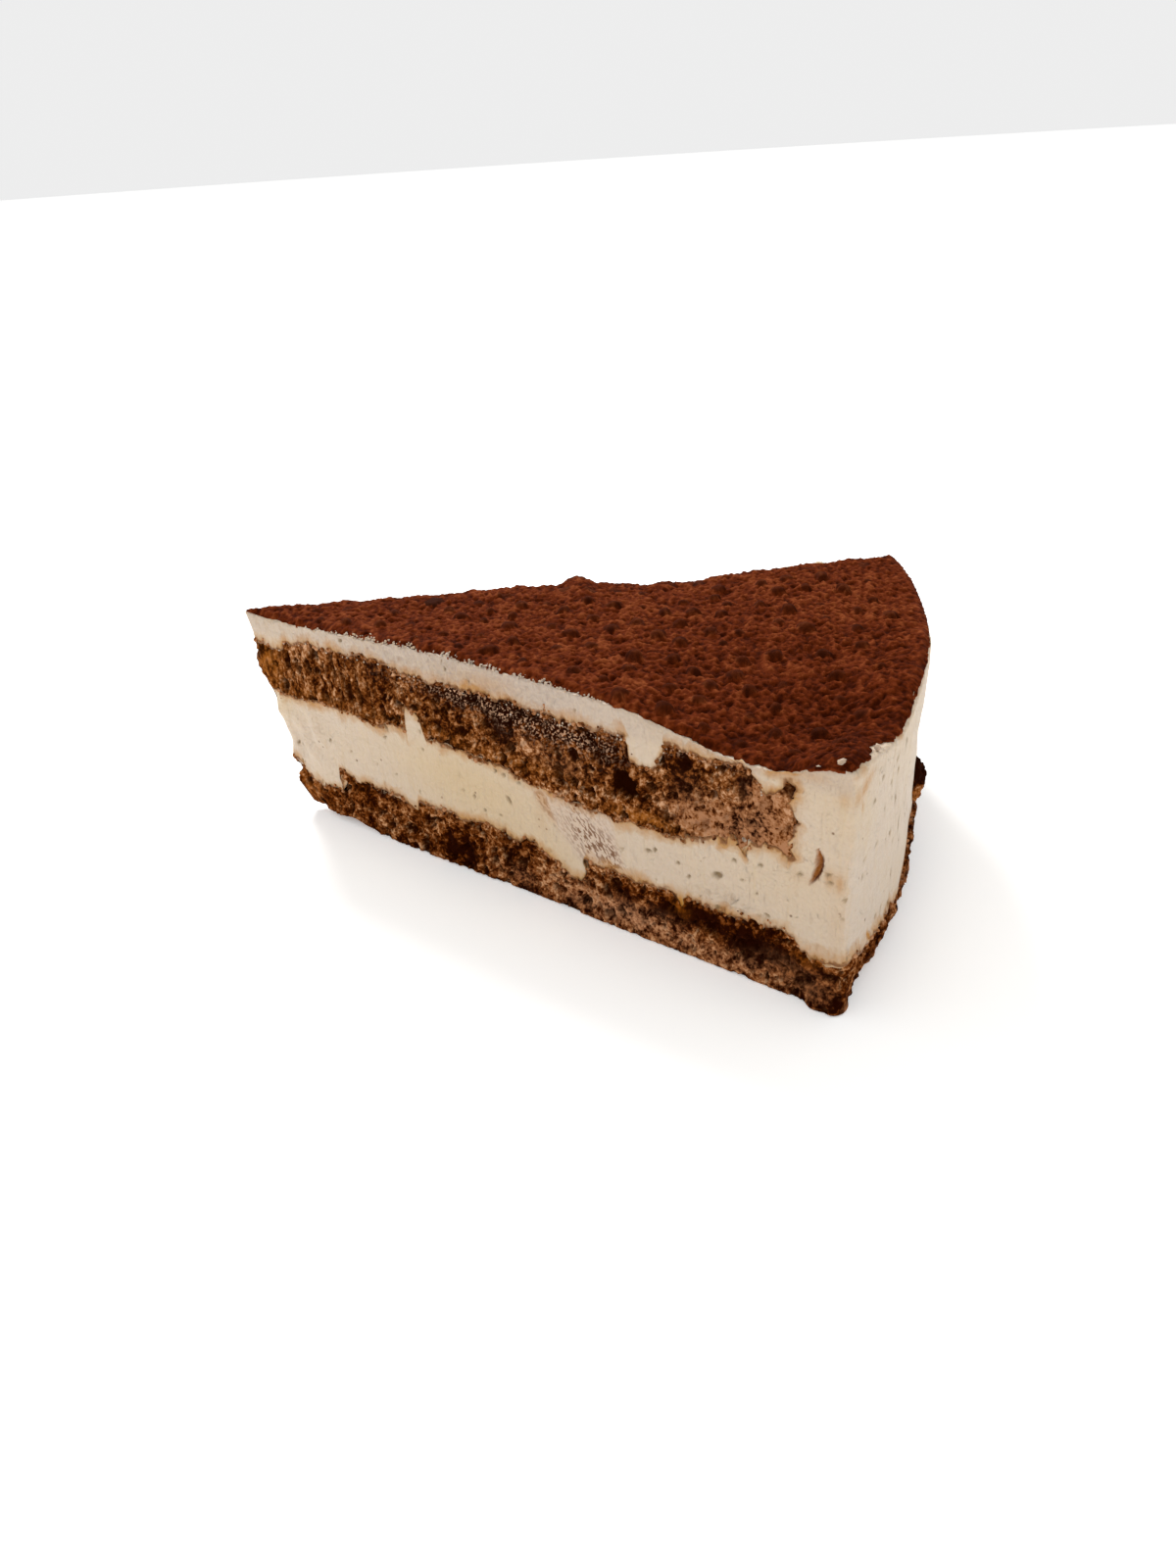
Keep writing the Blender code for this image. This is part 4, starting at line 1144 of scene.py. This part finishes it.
def creamMaterial(look):
    settings = {
        "Roughness": 0.5, "IOR": 1.42, "Specular IOR Level": 0.3, "Subsurface Weight": 0.35,
        "Subsurface Radius": (1.0, 0.75, 0.5), "Subsurface Scale": look["spread"] * mm,
    }
    marks = ("seep", "stain", "slit", "smear", "dragged", "yellow", "frostAndTopShade", "slitShade", "hole")
    made, tree, shader, read = newMaterial("whipped mascarpone cream", settings, marks, look["patterns"])
    coords, fine = read["coords"], read["fine"]
    cloud = {"Value": read["cloud"], "From Min": 0.4, "From Max": 0.75, "To Max": 0.4}
    cloud = addNode(tree, "MapRange", cloud)
    clouded = addNode(tree, "Math", {0: cloud, 1: read["yellow"]}, operation="MAXIMUM")
    upright = tuple(1 / (size * mm) for size in look["streak"])
    stretched = addNode(tree, "Mapping", {"Vector": coords, "Scale": upright})
    streak = addNode(tree, "TexNoise", {"Vector": stretched, "Scale": 1.0, "Detail": 2.0})
    streaked = {"Value": streak, "From Min": 0.55, "From Max": 0.8, "To Max": 0.25}
    streaked = addNode(tree, "MapRange", streaked)
    # brown specks, one in some of the cells of a pattern
    spot = addNode(tree, "TexVoronoi", {"Vector": coords, "Scale": 1 / (look["speckSpacing"] * mm)})
    near = addNode(tree, "MapRange", {"Value": spot, "From Min": 0.12, "From Max": 0.06})
    chosen = {"Value": spot.node.outputs["Color"], "From Min": 0.55, "From Max": 0.75, "To Max": 0.8}
    chosen = addNode(tree, "MapRange", chosen)
    specked = addNode(tree, "Math", {0: near, 1: chosen}, operation="MULTIPLY")
    # painted shade and frost on the top edge, and the patch of dragged crumbs, drawn down the face at a slant
    frosted = addNode(tree, "MapRange", {"Value": fine, "From Min": 0.3, "From Max": 0.7, "To Min": 0.35})
    frosted = addNode(tree, "Math", {0: frosted, 1: read["frostAndTopShade"]}, operation="MULTIPLY")
    slanted = coords
    for turn in ((0, 0, halfAngle), (0, math.radians(-50), 0)):
        slanted = addNode(tree, "Mapping", {"Vector": slanted, "Rotation": turn})
    drawnOut = tuple(1 / (size * mm) for size in look["dragged"])
    slanted = addNode(tree, "Mapping", {"Vector": slanted, "Scale": drawnOut})
    dragged = addNode(tree, "TexNoise", {"Vector": slanted, "Scale": 1.0, "Detail": 1.0})
    pinkish = addNode(tree, "Math", {0: read["smear"], 1: 0.38}, operation="MULTIPLY")
    crumb = {"Value": dragged, "From Min": 0.48, "From Max": 0.55, "To Max": 0.9}
    crumb = addNode(tree, "MapRange", crumb)
    crumb = addNode(tree, "Math", {0: crumb, 1: read["dragged"]}, operation="MULTIPLY")
    # coffee drawn out of the sponge: brown and ragged at the sponge, then tan and fading
    near = addNode(tree, "Math", {0: read["crumble"], 1: 0.5, 2: read["seep"]}, operation="MULTIPLY_ADD")
    far = addNode(tree, "Math", {0: read["drift"], 1: 1.1, 2: near}, operation="MULTIPLY_ADD")
    tan = addNode(tree, "MapRange", {"Value": far, "From Min": 1.08, "From Max": 1.8, "To Max": 0.85})
    tan = addNode(tree, "Math", {0: tan, 1: read["stain"]}, operation="MAXIMUM")
    brown = addNode(tree, "MapRange", {"Value": near, "From Min": 1.04, "From Max": 1.2, "To Max": 0.8})
    layers = (
        (clouded, "yellow"), (streaked, "yellow"), (specked, "speck"), (frosted, "frostAndTopShade"), (pinkish, "smear"),
        (crumb, "crumb"), (tan, "stain"), (brown, "soaked"), (read["hole"], "hole"), (read["slit"], "slit"),
        (read["slitShade"], "slitShade"),
    )
    colour = hexToLinear(look["white"])
    for share, tone in layers:
        mixed = {0: share, 6: colour, 7: hexToLinear(look[tone])}
        colour = addNode(tree, "Mix", mixed, data_type="RGBA")
    tree.links.new(colour, shader.inputs["Base Color"])
    under = {}
    for height, strength, depth in ((read["ripple"], 0.8, 0.9), (streak, 0.7, 0.5), (fine, 0.5, 0.2)):
        inputs = {"Height": height, "Strength": strength, "Distance": depth * mm, **under}
        under = {"Normal": addNode(tree, "Bump", inputs)}
    tree.links.new(under["Normal"], shader.inputs["Normal"])
    return made


# Sifted cocoa powder: dry, dull and fluffy, with painted shade in its hollows and towards the near
# corner, and darker where it has clumped
cocoaTones = {
    "stops": [(0.0, "#1e0400"), (0.3, "#380f00"), (0.55, "#5a2208"), (0.8, "#7c3e1e"), (1.0, "#95522b")],
    "lump": "#2e1004",
    "patterns": {"patch": (6, 3, 0.5), "fine": (0.5, 3, 0.65)},
}


def cocoaMaterial(look):
    settings = {"Roughness": 0.95, "Specular IOR Level": 0.03}
    marks = ("hollow", "lump", "cornerShade")
    made, tree, shader, read = newMaterial("sifted cocoa powder", settings, marks, look["patterns"])
    tone = 0.2
    # painted shade: the marks of the hollows and of the near corner darken the tone
    for name, amount in (("patch", 0.4), ("fine", 0.65), ("hollow", -0.42), ("cornerShade", -0.11)):
        tone = addNode(tree, "Math", {0: read[name], 1: amount, 2: tone}, operation="MULTIPLY_ADD")
    colour = addNode(tree, "ValToRGB", {"Fac": tone}, stops=look["stops"])
    share = addNode(tree, "Math", {0: read["lump"], 1: 0.6}, operation="MULTIPLY")
    mixed = {0: share, 6: colour, 7: hexToLinear(look["lump"])}
    colour = addNode(tree, "Mix", mixed, data_type="RGBA")
    tree.links.new(colour, shader.inputs["Base Color"])
    bump = addNode(tree, "Bump", {"Height": read["fine"], "Strength": 0.6, "Distance": 0.25 * mm})
    tree.links.new(bump, shader.inputs["Normal"])
    return made


whipped = creamMaterial(creamTones)
makeBase(baseLook, spongeMaterial(spongeTones["base"]))
upperGrid = makeUpper(upperLook, spongeMaterial(spongeTones["upper"]))
creamGrid = makeCream(creamLook, whipped)
makeCocoa(cocoaLook, cocoaMaterial(cocoaTones))
print("layers made")


# The crumb stuck to the rim, with its dark crust and paler inside
crumbLook = {
    "turn": -0.02,
    "height": 16.7,
    "sunk": 1.3,  # mm into the cream
    "size": (2.2, 2.1, 3.3),  # mm: out of the rim, half width, half length
    "pieces": [(0, 0, 0, 1.0), (0.6, 0.3, -2.6, 0.55), (0.2, -0.6, 2.2, 0.6)],
}


def makeRimCrumb(look, material):
    mesh = bmesh.new()
    for dx, dy, dz, size in look["pieces"]:
        ball = bmesh.ops.create_icosphere(mesh, subdivisions=5, radius=1)["verts"]
        for vertex in ball:
            lumpy = 1 + 0.28 * noise.noise(vertex.co * 2 + Vector((dz, 3, 0))) + 0.12 * noise.noise(vertex.co * 6)
            co = vertex.co * lumpy * size
            vertex.co = (co.x * look["size"][0] + dx, co.y * look["size"][1] + dy, co.z * look["size"][2] + dz)
    turned = look["turn"] * halfAngle
    reach = radius - look["sunk"]
    centre = Vector((reach * math.cos(turned) - wedge["originFromTip"], reach * math.sin(turned), look["height"]))
    up = np.array([vertex.co.z for vertex in mesh.verts])
    for vertex in mesh.verts:
        vertex.co = (vertex.co + centre) * mm
    data = bpy.data.meshes.new("rimCrumb")
    mesh.to_mesh(data)
    mesh.free()
    # crust at the top, paler inside below
    marks = {"soak": smooth((up + 1.2) / 1.2), "syrup": smooth(-1.0 - up), "pale": 0.4 * smooth(-1.5 - up)}
    placeMesh("rimCrumb", data, marks, material)


makeRimCrumb(crumbLook, spongeMaterial({**spongeTones["upper"], "name": "loose sponge crumb"}))
print("crumb on the rim made")


# Loose grains: sponge crumbs torn out along the edges of the layers, and grains of cream that
# the knife pulled up over the cocoa along the near edge
grainLook = {
    "spongeCount": 520,
    "spongeSize": (0.16, 0.45),  # mm, radius
    "creamCount": 520,
    "creamSize": (0.09, 0.2),
    "fringe": (20, 78),  # mm along the near face
    "fringeShare": 0.9,  # the others lie in the upper sponge
    "dabs": [(-0.975, 117.4, 0.6), (-0.8, 119.2, 0.4)],  # turn, distance, radius
}


def addGrains(name, places, sizes, marks, material, seed):
    draw = np.random.default_rng(seed)
    ball = bmesh.new()
    bmesh.ops.create_icosphere(ball, subdivisions=2, radius=1)
    corners = np.array([vertex.co[:] for vertex in ball.verts])
    faces = np.array([[vertex.index for vertex in face.verts] for face in ball.faces])
    ball.free()
    count = len(corners)
    points = np.empty((len(places), count, 3))
    for i, (place, size) in enumerate(zip(places, sizes)):
        stretch = draw.uniform(0.65, 1.25, 3)
        lumpy = 1 + 0.45 * noiseAt(corners, 0.8, float(i))
        points[i] = place + corners * lumpy[:, None] * stretch * size
    mesh = bpy.data.meshes.new(name)
    whole = faces[None] + count * np.arange(len(places))[:, None, None]
    mesh.from_pydata((points.reshape(-1, 3) * mm).tolist(), [], whole.reshape(-1, 3).tolist())
    marks = {mark: np.repeat(values, count) for mark, values in marks.items()}
    placeMesh(name, mesh, marks, material)


# Sponge crumbs on the cream, close to the edges of the layers
def scatterCrumbs(look, draw, material):
    middleRows, besideRows, _ = creamLook["rows"]
    edgeRows = ((0, 1), (middleRows, -1), (middleRows + besideRows, 1))
    places, sizes = [], []
    while len(places) < look["spongeCount"]:
        row, way = edgeRows[draw.integers(3)]
        column = draw.integers(creamGrid.shape[1])
        if columns["distance"][column] > 109 and row > 0:
            continue
        steps = int(abs(draw.normal(0, 1.2)))
        size = draw.uniform(*look["spongeSize"]) * (0.6 if steps > 1 else 1)
        spot = creamGrid[row + way * steps, column]
        places.append(spot + np.append(columns["out"][column], 0) * size * draw.uniform(-0.5, 0.3))
        sizes.append(size)
    limits = {"soak": (-0.3, 0.3), "pale": (0.2, 1), "syrup": (0, 0.4)}
    marks = {mark: draw.uniform(low, high, len(places)) for mark, (low, high) in limits.items()}
    addGrains("spongeCrumbs", places, sizes, marks, material, 6)


# Cream grains: a fringe on the near edge, some caught in the crumb of the upper sponge, and
# dabs on the cocoa
def scatterCream(look, draw, material):
    places, sizes = [], []
    near = np.nonzero((columns["turn"] == -1) & (columns["rim"] == 0))[0]
    s = alongNear(creamGrid[-1])
    while len(places) < look["creamCount"]:
        size = draw.uniform(*look["creamSize"])
        if draw.random() < look["fringeShare"]:
            column = near[draw.integers(len(near))]
            if draw.random() > between(s[column], *look["fringe"], 16):
                continue
            inward = abs(draw.normal(0, 0.45))
            up = 0.05 + 0.4 * inward + draw.uniform(-0.15, 0.1)
            places.append(creamGrid[-1, column] + [0, 0, up] - np.append(columns["out"][column], 0) * inward)
        else:
            row = -1 - int(abs(draw.normal(0, 2.0)))
            spot = upperGrid[row, draw.integers(upperGrid.shape[1])]
            if np.hypot(spot[0] + wedge["originFromTip"], spot[1]) > 110:
                continue
            places.append(spot)
        sizes.append(size)
    for turn, distance, size in look["dabs"]:
        x, y = distance * math.cos(turn * halfAngle) - wedge["originFromTip"], distance * math.sin(turn * halfAngle)
        places.append((x, y, heightAt(creamTop, np.array([[x, y]]))[0] + 0.5))
        sizes.append(size)
    # the grains take the grey of the top band's painted shade
    limits = {"frostAndTopShade": (0.6, 1), "stain": (0, 0.2)}
    marks = {mark: draw.uniform(low, high, len(places)) for mark, (low, high) in limits.items()}
    addGrains("creamGrains", places, sizes, marks, material, 7)


grainDraw = np.random.default_rng(5)
scatterCrumbs(grainLook, grainDraw, spongeMaterial({**spongeTones["upper"], "name": "torn sponge crumbs"}))
scatterCream(grainLook, grainDraw, whipped)


# Pale floor and soft studio light
studio = {
    "floor": "#fbfbfa",
    "floorGlow": 0.2,  # lightens the shadow, as the photograph has none
    "worldStrength": 0.85,
    "patterns": {"fibre": (0.4, 2, 0.5)},  # size in mm, detail, roughness
    # place in metres, size in metres, watts
    "lights": {
        "keyBack": ((-0.7, 1.0, 1.0), 0.55, 24),
        "fillFront": ((0.2, -1.5, 1.0), 1.2, 5),
    },
}


def makeStudio(look):
    mesh = bmesh.new()
    bmesh.ops.create_circle(mesh, cap_ends=True, segments=96, radius=6)
    data = bpy.data.meshes.new("floor")
    mesh.to_mesh(data)
    mesh.free()
    floor = bpy.data.objects.new("floor", data)
    floor.location.z = -0.0002
    bpy.context.scene.collection.objects.link(floor)
    settings = {
        "Base Color": hexToLinear(look["floor"]), "Emission Color": hexToLinear(look["floor"]),
        "Emission Strength": look["floorGlow"], "Roughness": 0.9,
    }
    made, tree, shader, read = newMaterial("matt white paper sweep", settings, (), look["patterns"])
    bump = addNode(tree, "Bump", {"Height": read["fibre"], "Strength": 0.1, "Distance": 0.02 * mm})
    tree.links.new(bump, shader.inputs["Normal"])
    data.materials.append(made)
    world = bpy.data.worlds.new("studio")
    world.use_nodes = True
    sky = world.node_tree.nodes["Background"]
    sky.inputs["Color"].default_value = (1, 1, 1, 1)
    sky.inputs["Strength"].default_value = look["worldStrength"]
    bpy.context.scene.world = world
    for name, (place, size, watts) in look["lights"].items():
        light = bpy.data.lights.new(name, "AREA")
        light.shape = "DISK"
        light.size = size
        light.energy = watts
        lamp = bpy.data.objects.new(name, light)
        lamp.location = place
        lamp.rotation_euler = (-Vector(place)).to_track_quat("-Z", "Y").to_euler()
        bpy.context.scene.collection.objects.link(lamp)
    bpy.context.scene.view_settings.view_transform = "Standard"


makeStudio(studio)
print("studio ready")
